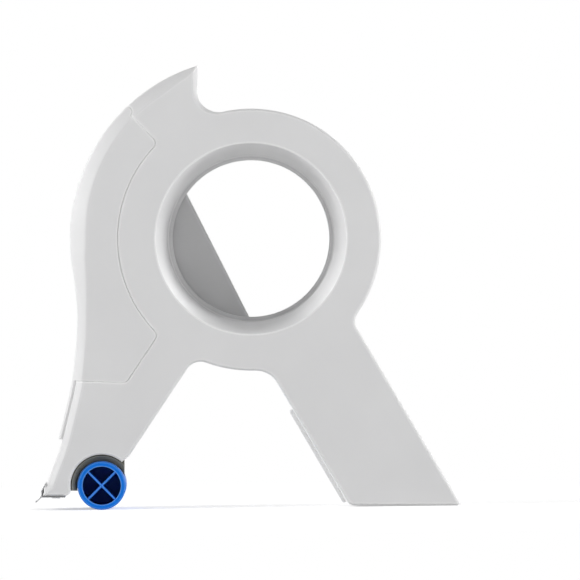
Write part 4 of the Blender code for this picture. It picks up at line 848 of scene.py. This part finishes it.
def cross(share, y):
    """The outline of a cross recess, of a share of its full size, at this depth."""
    reach, half = DRIVE_REACH * share, DRIVE_HALF * share
    return at_depth([
        (x * cos(turn) - z * sin(turn), x * sin(turn) + z * cos(turn))
        for turn in (0.0, pi / 2, pi, pi * 3 / 2)
        for x, z in ((reach, -half), (reach, half), (half, half))
    ], y)


def make_screw(name, place, far):
    """A self-tapping pan-head screw in its seat below this face."""
    low = SCREW_HEAD_THICK * (1 - CROWN_share)
    crown = SCREW_HEAD_THICK - low
    screw = shape(name, turned, [
        (SCREW_RADIUS * POINT_share, -SCREW_LENGTH), (SCREW_RADIUS, -SCREW_LENGTH + SCREW_RADIUS),
        (SCREW_RADIUS, 0.0), (SCREW_HEAD, 0.0),
        *[(SCREW_HEAD * x, low + crown * y) for x, y in arc(1, 0.0, SCREW_CROWN, step=HOLLOW_STEP)],
    ])
    cut(screw, skin, [
        cross(POINT_share, low), cross(1, SCREW_HEAD_THICK), cross(1, SCREW_HEAD_THICK + OVERRUN)])
    screw.location = (place[0], far - HEAD_SINK + GAP, place[1])
    return screw


def make_screws():
    return [
        make_screw(f"{name}_{number}_look", place, far)
        for name, places, far in (
            ("cheek_screw", leg_posts(), CHEEK_FAR),
            ("handle_screw", HANDLE_BOSSES, HANDLE_DEPTH),
            ("far_plate_screw", cover_bosses(), FAR_PLATE_FAR),
        )
        for number, place in enumerate(places, 1)
    ]


def make_leg_cheek():
    """The far cheek: the lower leg, with a lobe and a collar round the roller's axle."""
    collar_end = ROLLER_NEAR + ROLLER_LENGTH + GAP
    rim = [point for point in LEG_RIM if point[1] < CHEEK_TOP_Z]
    top = (rim[0][0], CHEEK_TOP_Z)
    way = toward(LEG_SLOPE)
    base = toward(LEG_NORMAL) * (LEG_OFFSET - CHEEK_TOP_INSET)
    corner, foot = [base + way * ((z - base.y) / way.y) for z in (CHEEK_TOP_Z, LEG_FOOT_Z)]
    outline = onward([
        *blended(corner, top, rim[1], CHEEK_TOP_ROUND),
        *rim[1:-1],
        (TIP_X, -TIP_DEPTH), (TIP_END, -TIP_DEPTH),
        (ROLLER_X - RECESS_RADIUS - CRISP_ROUND, ROLLER_Z - GUARD_FOOT),
        *arc(CHEEK_LOBE, CHEEK_LOBE_START, CHEEK_LOBE_END, ROLLER_AXIS, HOLLOW_STEP),
        foot,
        *blended(foot, corner, top, SEAM_ROUND),
    ])

    def holes(bm):
        sunk_holes(bm, leg_posts(), CHEEK_NEAR, CHEEK_FAR)
        posts(bm, [ROLLER_AXIS], AXLE_RADIUS + SCREW_FIT, collar_end - OVERRUN, CHEEK_FAR + OVERRUN)

    cheek = shape("leg_cheek_look", rounded_prism, outline, CHEEK_NEAR, CHEEK_FAR, far_round=EDGE_ROUND)
    join(cheek, posts, [ROLLER_AXIS], AXLE_RADIUS + 2 * BOSS_WALL, collar_end, CHEEK_FAR - BITE)
    cut(cheek, holes)
    return [cheek]


def make_core_wheel():
    """The sleeve that carries the roll's core and turns on the hub."""
    flange = WHEEL_RADIUS + WHEEL_FLANGE
    flange_far = WHEEL_NEAR + WHEEL_FLANGE_THICK
    web_bore = HUB_END_RADIUS + GAP
    web_near = WHEEL_FAR - WHEEL_WEB

    def ribs(bm):
        for i in range(CORE_RIBS):
            out = toward(360.0 * i / CORE_RIBS)
            low = out * (WHEEL_RADIUS - WHEEL_WALL / 2)
            high = out * (WHEEL_RADIUS + CORE_RIB)
            prism(bm, bar(low, high, out.orthogonal() * CORE_RIB_WIDTH / 2), flange_far + OVERRUN, web_near)

    wheel = shape("core_wheel_look", turned, [
        (WHEEL_BORE, WHEEL_NEAR), (flange, WHEEL_NEAR), (flange, flange_far),
        (WHEEL_RADIUS, flange_far), (WHEEL_RADIUS, WHEEL_FAR - CRISP_ROUND),
        (WHEEL_RADIUS - CRISP_ROUND, WHEEL_FAR), (web_bore, WHEEL_FAR), (web_bore, web_near),
        (WHEEL_BORE, web_near - CRISP_ROUND),
    ], steps=FINE_STEPS, closed=True)
    join(wheel, ribs)
    return [wheel]


def make_hub_end_ring():
    """The lip: a skirt in the hub's bore and a flange that keeps the wheel on."""
    skirt = BORE_LIP_RADIUS + LIP_SEAT - GAP
    bore = skirt - LIP_BORE_WALL
    flange = HUB_END_RADIUS + LIP_COVER
    start = BORE_LIP_DEPTH + GAP
    near = HUB_END + GAP
    far = near + LIP_THICK
    return [shape("hub_end_ring_look", turned, [
        (skirt, start), (skirt, near), (flange, near), (flange, far - CRISP_ROUND),
        (flange - CRISP_ROUND, far), (bore - LIP_BEAD, far), (bore - LIP_BEAD, far - LIP_BEAD),
        (bore, far - 2 * LIP_BEAD), (bore, start + LIP_SLOPE),
    ], steps=FINE_STEPS, closed=True)]


def make_roller():
    """A tube with crossed ribs at its open end and a blind bore for the axle."""
    near = ROLLER_NEAR
    far = near + ROLLER_LENGTH
    inner = ROLLER_RADIUS - ROLLER_WALL
    bore = AXLE_RADIUS + GAP
    boss = bore + ROLLER_BOSS_WALL
    groove = bore + SNAP_RING_WIRE
    bore_end = far - AXLE_REACH

    def rib(bm, turn):
        out = Vector(polar(inner + ROLLER_WALL / 2, turn))
        side = Vector(polar(ROLLER_RIB / 2, turn + 90.0))
        rounded_prism(bm, bar(-out, out, side), near + GAP, near + ROLLER_POCKET + BITE, ROLLER_RIB_ROUND)

    roller = shape("roller_look", turned, [
        (bore, bore_end), (bore, SNAP_RING_Y - SNAP_RING_WIRE), (groove, SNAP_RING_Y - SNAP_RING_WIRE),
        (groove, SNAP_RING_Y + SNAP_RING_WIRE), (bore, SNAP_RING_Y + SNAP_RING_WIRE), (bore, far),
        (boss, far), (boss, bore_end), (inner, bore_end), (inner, far),
        (ROLLER_RADIUS - CRISP_ROUND, far), (ROLLER_RADIUS, far - CRISP_ROUND),
        (ROLLER_RADIUS, near + CRISP_ROUND), (ROLLER_RADIUS - CRISP_ROUND, near),
        (inner, near), (inner, near + ROLLER_POCKET),
    ], steps=ROLLER_STEPS)
    for turn in ROLLER_RIB_ANGLES:
        join(roller, rib, turn)
    roller.location = (ROLLER_X, 0.0, ROLLER_Z)
    return [roller]


def make_roller_guard():
    """The cut-out's liner: a hollow cone round the roller with a flange behind the plate."""
    outer = RECESS_RADIUS - GAP
    inner = ROLLER_RADIUS + GUARD_CLEARANCE
    back = PLATE + GAP
    far = back + GUARD_FLANGE_THICK
    stock = RECESS_RADIUS + GUARD_FLANGE + OVERRUN
    profile = [
        (outer, GUARD_LIP_NEAR), (inner, GUARD_DEPTH), (inner, far), (outer + GUARD_FLANGE, far),
        (outer + GUARD_FLANGE, back), (outer, back),
    ]
    guard = shape("roller_guard_look", skin, [
        [(x * radius, y, z * radius) for radius, y in profile] for x, z in arc(1, GUARD_START, GUARD_END)
    ])
    limit = [(-stock, -GUARD_FOOT), (GUARD_BACK, -GUARD_FOOT), (GUARD_BACK, stock), (-stock, stock)]
    change(guard, "INTERSECT", prism, limit, -OVERRUN, far + OVERRUN)
    guard.location = (ROLLER_X, 0.0, ROLLER_Z)
    return [guard]


def sheet(bm, start, end, near, far):
    """A strip of blade steel between two points of its profile."""
    prism(bm, bar(start, end, (end - start).normalized().orthogonal() * BLADE_SHEET / 2), near, far)


def teeth(bm, fold, near, far):
    """The serrated edge, cut along its strip in the strip's own plane."""
    way = toward(180.0 + BLADE_SLOPE)
    side = way.orthogonal() * BLADE_SHEET / 2
    count = round((far - near) / TOOTH_PITCH)
    pitch = (far - near) / count
    root = BLADE_REACH - TOOTH_DEPTH
    edge = [(near, 0.0)]
    for i in range(count):
        edge += [(near + pitch * i, root), (near + pitch * (i + 1 / 2), BLADE_REACH)]
    edge += [(far, root), (far, 0.0)]
    faces = []
    for start in (fold - side, fold + side):
        spots = [(start + way * reach, y) for y, reach in edge]
        faces.append([(spot.x, y, spot.y) for spot, y in spots])
    skin(bm, faces)


def make_cutter_blade():
    """A base under the tip, a flange up its front and the teeth between them."""
    fold = Vector((TIP_X - GAP - BLADE_SHEET / 2, -TIP_DEPTH - GAP - BLADE_SHEET / 2))
    near = BLADE_START
    far = near + BLADE_LENGTH
    bend = fold + Vector((BLADE_FLANGE_LEAN * BEND_share, BLADE_FLANGE / 2))
    top = fold + Vector((BLADE_FLANGE_LEAN, BLADE_FLANGE))
    front = fold - Vector((BLADE_SHEET, 0.0))
    blade = shape("cutter_blade_look", sheet, front, Vector((TIP_END, fold.y)), near, far)
    join(blade, sheet, fold, bend, near, far)
    join(blade, sheet, bend - (top - bend) * POINT_share / 2, top, near, far)
    join(blade, teeth, fold, near + GAP / 2, far - GAP / 2)
    cut(blade, rivet_holes)
    return [blade]


def make_blade_rivets():
    under = -TIP_DEPTH - GAP - BLADE_SHEET - SCREW_FIT
    over = -TIP_DEPTH + WALL + SCREW_FIT
    rivets = []
    for number, y in enumerate(RIVET_YS, 1):
        rivets.append(shape(f"blade_rivet_{number}_look", upright, (0.0, 0.0), [
            (RIVET_HEAD, under - RIVET_HEAD_THICK / 2), (RIVET_HEAD, under),
            (RIVET_RADIUS, under), (RIVET_RADIUS, over), (RIVET_HEAD, over),
            (RIVET_HEAD * CROWN_share, over + RIVET_HEAD_THICK),
        ]))
        rivets[-1].location = (RIVET_X, y, 0.0)
    return rivets


def make_handle_cover():
    """The handle's far half, a shell with an edge well rounded for the palm."""
    near = HANDLE_SPLIT + GAP
    cover = shape("handle_cover_look", rounded_prism, handle_outline(heel_round=0.0), near,
                  HANDLE_DEPTH, far_round=PALM_ROUND)
    cut(cover, rounded_prism, HANDLE_INSIDE, near - OVERRUN, HANDLE_DEPTH - WALL,
        far_round=PALM_ROUND - WALL)
    cut(cover, sunk_holes, HANDLE_BOSSES, near, HANDLE_DEPTH)
    return [cover]


def make_grip_strip():
    """The finger grip, across the joint between the handle's halves."""
    start = handle_point(0, GRIP_TOP_share)
    end = handle_point(0, GRIP_FOOT_share)
    base = -BACK * GRIP_SEAT
    crest = -BACK * (GRIP_SEAT + GRIP_PROUD)
    near = (HANDLE_DEPTH - GRIP_WIDTH) / 2
    outline = [
        start + base,
        *blended(start + base, start + crest, end + crest, GRIP_ROUND),
        *blended(start + crest, end + crest, end + base, GRIP_ROUND),
        end + base,
    ]
    return [shape("grip_strip_look", prism, outline, near, near + GRIP_WIDTH)]


# Photograph, in pixels of the 580 by 580 frame
FRAME_px = 580
HUB_X_px = 251.1
HUB_Z_px = 238.7
EYE_X_px = 245.0  # where the camera's axis meets the picture
EYE_Z_px = 220.0
PIXEL = 0.000376  # metres across one pixel at the side plate
EYE_DISTANCE = 6.0
SENSOR = 36.0

# Finishes; a noise has its scale and its detail
TONE_NOISE = (30.0, 2.0)
GLOSS_NOISE = (90.0, 3.0)
GRAIN_NOISE = (1800.0, 2.0)
GRAIN_HEIGHT = 0.00003
SOFT_EDGE = 0.00025
PAINTED_HIGHLIGHT_WIDTH = 0.0008  # of the painted highlight, a lighter line along an outer edge
FINE_PAINTED_HIGHLIGHT = 0.0004  # the same on small pieces
PAINTED_HIGHLIGHT_START = 0.98  # openness of the inside where that line starts
PAINTED_HIGHLIGHT_FULL = 0.84  # and where it is full
PLASTIC_IOR = 1.52
STEEL_TONE_NOISE = (60.0, 2.0)
STEEL_SHADE_share = 0.82
LINE_NOISE = (900.0, 3.0)
LINE_HEIGHT = 0.00001
LINE_STRENGTH = 0.3
STEEL_EDGE = 0.00008
FIBRE_NOISE = (2500.0, 6.0)
FIBRE_HEIGHT = 0.0001
FIBRE_STRENGTH = 0.8
FELT_SHADE_share = 0.5
FELT_ROUGHNESS = 0.95
FELT_SHEEN = 0.3
RAMP_ENDS = (0.3, 0.7)
AO_SAMPLES = 8
BEVEL_SAMPLES = 6
SHARP_ANGLE = 35.0  # sharper edges are shaded sharp

# Studio
FLOOR = 6.0
FLOOR_TONE = (0.90, 0.90, 0.90, 1.0)
FLOOR_LIFT = 0.5  # brings the lit floor up to white for the camera and leaves its shadow
SHADOW_START = 0.16  # the floor fades to plain white between these distances
SHADOW_END = 0.55
WHITE = (1.0, 1.0, 1.0, 1.0)
WORLD_STRENGTH = 0.15
LAMP_AIM = (0.0, 0.0, 0.085)
LAMP_SIZE = (0.9, 0.3)
LAMPS = (
    ("left_softbox", (-1.05, -0.42, 0.40), 8.8),
    ("right_softbox", (1.05, -0.44, 0.32), 8.5),
    ("back_right_softbox", (0.75, 0.95, 0.50), 4.0),
    ("back_left_softbox", (-0.75, 0.95, 0.50), 3.2),
)


def stance():
    """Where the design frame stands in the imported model, from its wheel and roller joints."""
    joints = {joint["name"]: Vector(joint["pos_m"]) for joint in frame["joints"]}
    hub = joints["core_wheel_spin"]
    down = joints["roller_spin"] - hub
    tilt = bearing(ROLLER_AXIS) - bearing((down.x, down.z))
    near = cad_box[0][1]
    return Matrix.Translation((hub.x, near, hub.z)) @ Matrix.Rotation(radians(tilt), 4, "Y")


STANCE = stance()


def feed(tree, made, inputs):
    """Gives a node's inputs their values, or links them to other nodes' outputs."""
    for name, value in inputs.items():
        if isinstance(value, bpy.types.NodeSocket):
            tree.links.new(value, made.inputs[name])
        elif value is not None:
            made.inputs[name].default_value = value
    return made


def node(tree, kind, **inputs):
    """Adds a node; an underscore in an input's name stands for a space."""
    return feed(tree, tree.nodes.new("ShaderNode" + kind), {
        name.replace("_", " "): value for name, value in inputs.items()})


def material(name):
    """A fresh material, its node tree, its shader and the piece's own coordinates."""
    made = bpy.data.materials.new(name)
    made.use_nodes = True
    tree = made.node_tree
    return made, tree, tree.nodes["Principled BSDF"], node(tree, "TexCoord").outputs["Object"]


def noise(tree, where, size):
    scale, detail = size
    return node(tree, "TexNoise", Vector=where, Scale=scale, Detail=detail).outputs["Fac"]


def ramp(tree, source, low, high):
    """Turns a noise into a value or a colour between two ends."""
    made = node(tree, "ValToRGB", Fac=source)
    for end, place, value in zip(made.color_ramp.elements, RAMP_ENDS, (low, high)):
        end.position = place
        end.color = (*value, 1.0) if isinstance(value, tuple) else (value, value, value, 1.0)
    return made.outputs["Color"]


def bump(tree, source, height, strength, normal=None):
    return node(tree, "Bump", Height=source, Distance=height, Strength=strength,
                Normal=normal).outputs["Normal"]


def soft_edge(tree, radius):
    made = node(tree, "Bevel", Radius=radius)
    made.samples = BEVEL_SAMPLES
    return made.outputs["Normal"]


def painted_highlight_mask(tree, reach):
    """How near an outer edge the surface is, or how thin, from 0 to 1; this masks the painted highlight."""
    inside = node(tree, "AmbientOcclusion", Distance=reach)
    inside.inside = True
    inside.only_local = True
    inside.samples = AO_SAMPLES
    return node(tree, "MapRange", Value=inside.outputs["AO"], From_Min=PAINTED_HIGHLIGHT_START,
                From_Max=PAINTED_HIGHLIGHT_FULL).outputs["Result"]


def plastic(name, colour, shade, edge, roughness, grain, width=PAINTED_HIGHLIGHT_WIDTH, specular=0.5):
    """Moulded plastic: an etched grain, slow changes of tone and gloss, and soft edges; edge is the colour
    of a painted highlight that lightens outer edges and thin parts.
    """
    made, tree, shader, where = material(name)
    # Painted highlight: the edge colour mixed in near outer edges and over thin parts.
    painted_highlight = node(tree, "Mix")
    painted_highlight.data_type = "RGBA"
    tone = ramp(tree, noise(tree, where, TONE_NOISE), shade, colour)
    feed(tree, painted_highlight, {"Factor": painted_highlight_mask(tree, width), "A": tone, "B": (*edge, 1.0)})
    grained = bump(tree, noise(tree, where, GRAIN_NOISE), GRAIN_HEIGHT, grain,
                   soft_edge(tree, SOFT_EDGE))
    feed(tree, shader, {
        "Base Color": painted_highlight.outputs["Result"],
        "Roughness": ramp(tree, noise(tree, where, GLOSS_NOISE), *roughness),
        "Normal": grained,
        "IOR": PLASTIC_IOR,
        "Specular IOR Level": specular,
    })
    return made


def steel(name, colour, roughness, stretch):
    """Rolled or drawn steel, with fine lines along one axis."""
    made, tree, shader, where = material(name)
    along = node(tree, "Mapping", Vector=where, Scale=stretch).outputs["Vector"]
    lines = noise(tree, along, LINE_NOISE)
    darker = tuple(c * STEEL_SHADE_share for c in colour)
    feed(tree, shader, {
        "Base Color": ramp(tree, noise(tree, where, STEEL_TONE_NOISE), darker, colour),
        "Roughness": ramp(tree, lines, *roughness),
        "Normal": bump(tree, lines, LINE_HEIGHT, LINE_STRENGTH, soft_edge(tree, STEEL_EDGE)),
        "Metallic": 1.0,
    })
    return made


def felt(name, colour):
    """Pressed felt, with short fibres that stand up all over."""
    made, tree, shader, where = material(name)
    fibres = noise(tree, where, FIBRE_NOISE)
    feed(tree, shader, {
        "Base Color": ramp(tree, fibres, tuple(c * FELT_SHADE_share for c in colour), colour),
        "Normal": bump(tree, fibres, FIBRE_HEIGHT, FIBRE_STRENGTH),
        "Roughness": FELT_ROUGHNESS,
        "Sheen Weight": FELT_SHEEN,
    })
    return made


def dress(piece, look, body):
    """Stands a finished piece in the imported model, in place of the node it is named after."""
    mesh = piece.data
    mesh.materials.clear()
    mesh.materials.append(look)
    mesh.shade_smooth()
    mesh.set_sharp_from_angle(angle=radians(SHARP_ANGLE))
    even = piece.modifiers.new("even_normals", "WEIGHTED_NORMAL")
    even.keep_sharp = True
    piece.matrix_world = STANCE @ Matrix.Translation(piece.location)
    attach(piece, body)
    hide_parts(piece.name.removesuffix("_look"))


def dress_node(name, look):
    """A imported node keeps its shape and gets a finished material."""
    obj = frame["nodes"][name]
    if not obj.material_slots:
        obj.data.materials.append(look)
    for place in obj.material_slots:
        place.link = "OBJECT"
        place.material = look


def make_pieces():
    # Each plastic's edge colour is a painted highlight along its outer edges and thin parts.
    white = dict(colour=(0.80, 0.80, 0.803), shade=(0.775, 0.775, 0.78), roughness=(0.46, 0.54), grain=0.4)
    body_white = plastic("white_moulding", edge=(0.95,) * 3, **white)
    # The cover's white is the frame's with a dimmer painted highlight, which leaves the cover's side of the
    # seam darker.
    cover_white = plastic("white_cover_moulding", edge=(0.84,) * 3, **white)
    blue = plastic("blue_roller", colour=(0.0015, 0.20, 0.82), shade=(0.001, 0.175, 0.76),
                   edge=(0.13, 0.38, 0.95), width=FINE_PAINTED_HIGHLIGHT, roughness=(0.36, 0.46), grain=0.3,
                   specular=0.2)
    dark = plastic("dark_liner", colour=(0.175, 0.17, 0.135), shade=(0.135, 0.135, 0.11),
                   edge=(0.21, 0.205, 0.165), width=FINE_PAINTED_HIGHLIGHT, roughness=(0.26, 0.36), grain=0.4)
    # The grip's white is lighter than the frame's, painted light that makes up for the shade on the
    # recessed strip.
    strip = plastic("white_grip", colour=(0.93,) * 3, shade=(0.90,) * 3, edge=(0.96,) * 3,
                    roughness=(0.45, 0.6), grain=1.0)
    bright = steel("bright_steel", colour=(0.62, 0.62, 0.63), roughness=(0.22, 0.38),
                   stretch=(1.0, 0.08, 1.0))
    plated = steel("plated_steel", colour=(0.58, 0.58, 0.60), roughness=(0.25, 0.40),
                   stretch=(1.0, 1.0, 1.0))
    for look, slot_name, body, *makers in (
        (body_white, "white_plastic", "frame", make_side_frame, make_hub_end_ring, make_leg_cheek,
         make_handle_cover),
        (strip, "white_plastic", "frame", make_grip_strip),
        (dark, "dark_plastic", "frame", make_roller_guard),
        (bright, "steel", "frame", make_cutter_blade),
        (plated, "steel", "frame", make_blade_rivets),
        (cover_white, "white_plastic", "cover", make_guard_cover),
        (body_white, "white_plastic", "cover", make_cover_far_plate),
        (body_white, "white_plastic", "core_wheel", make_core_wheel),
        (blue, "blue_plastic", "roller", make_roller),
    ):
        for piece in [piece for maker in makers for piece in maker()]:
            dress(piece, look, body)
    for piece in make_screws():
        dress(piece, plated, "cover" if piece.name.startswith("far_plate") else "frame")
    dress_node("drag_washer", felt("grey_felt", (0.16, 0.16, 0.165)))
    for name in ("roller_axle", "axle_snap_ring", "cover_hinge_pin"):
        dress_node(name, plated)


def reckon(tree, operation, first, second):
    made = tree.nodes.new("ShaderNodeMath")
    made.operation = operation
    return feed(tree, made, {0: first, 1: second}).outputs["Value"]


def plain_seen(tree):
    """Camera and glossy rays, which both see the backdrop as plain white."""
    path = node(tree, "LightPath").outputs
    return reckon(tree, "MAXIMUM", path["Is Camera Ray"], path["Is Glossy Ray"])


def mixed(tree, share, first, second):
    made = tree.nodes.new("ShaderNodeMixShader")
    return feed(tree, made, {"Fac": share, 1: first, 2: second}).outputs["Shader"]


def make_stage():
    """A pale floor that keeps the shadow round the tool and fades to plain white further off."""
    mesh = bpy.data.meshes.new("studio_floor")
    corners = ((-FLOOR, -FLOOR), (FLOOR, -FLOOR), (FLOOR, FLOOR), (-FLOOR, FLOOR))
    mesh.from_pydata([(x, y, 0.0) for x, y in corners], [], [(0, 1, 2, 3)])
    obj = in_scene("studio_floor", mesh)
    made, tree, shader, where = material("studio_floor")
    feed(tree, shader, {"Base Color": FLOOR_TONE, "Roughness": 1.0, "Specular IOR Level": 0.0})
    away = feed(tree, tree.nodes.new("ShaderNodeVectorMath"), {0: where})
    away.operation = "LENGTH"
    fade = node(tree, "MapRange", Value=away.outputs["Value"], From_Min=SHADOW_START, From_Max=SHADOW_END)
    fade.interpolation_type = "SMOOTHSTEP"
    lift = node(tree, "Emission", Color=(FLOOR_LIFT, FLOOR_LIFT, FLOOR_LIFT, 1.0)).outputs["Emission"]
    lit = shader.outputs["BSDF"]
    lifted = feed(tree, tree.nodes.new("ShaderNodeAddShader"), {0: lit, 1: lift}).outputs["Shader"]
    near = mixed(tree, node(tree, "LightPath").outputs["Is Camera Ray"], lit, lifted)
    plain = reckon(tree, "MULTIPLY", fade.outputs["Result"], plain_seen(tree))
    whole = mixed(tree, plain, near, node(tree, "Emission").outputs["Emission"])
    feed(tree, tree.nodes["Material Output"], {"Surface": whole})
    mesh.materials.append(made)


def make_world():
    world = bpy.data.worlds.new("studio")
    bpy.context.scene.world = world
    world.use_nodes = True
    tree = world.node_tree
    lighting = feed(tree, tree.nodes["Background"], {"Color": WHITE, "Strength": WORLD_STRENGTH})
    seen = node(tree, "Background", Color=WHITE, Strength=1.0)
    both = mixed(tree, plain_seen(tree), lighting.outputs["Background"], seen.outputs["Background"])
    feed(tree, tree.nodes["World Output"], {"Surface": both})


def make_lights():
    for name, place, power in LAMPS:
        light = bpy.data.lights.new(name, "AREA")
        light.shape = "RECTANGLE"
        light.size, light.size_y = LAMP_SIZE
        light.energy = power
        obj = in_scene(name, light)
        obj.location = place
        obj.rotation_euler = (Vector(LAMP_AIM) - Vector(place)).to_track_quat("-Z", "Y").to_euler()


def make_camera():
    """The photograph's view: straight at the side plate, from far off."""
    data = bpy.data.cameras.new("camera")
    data.sensor_width = SENSOR
    data.lens = SENSOR * EYE_DISTANCE / (PIXEL * FRAME_px)
    data.shift_x = (FRAME_px / 2 - EYE_X_px) / FRAME_px
    data.shift_y = -(FRAME_px / 2 - EYE_Z_px) / FRAME_px
    obj = in_scene("camera", data)
    place = Vector(((EYE_X_px - HUB_X_px) * PIXEL, -EYE_DISTANCE, (HUB_Z_px - EYE_Z_px) * PIXEL))
    obj.matrix_world = STANCE @ Matrix.Translation(place) @ Matrix.Rotation(pi / 2, 4, "X")
    bpy.context.scene.camera = obj


bpy.context.scene.view_settings.view_transform = "Standard"
make_pieces()
make_stage()
make_world()
make_lights()
make_camera()
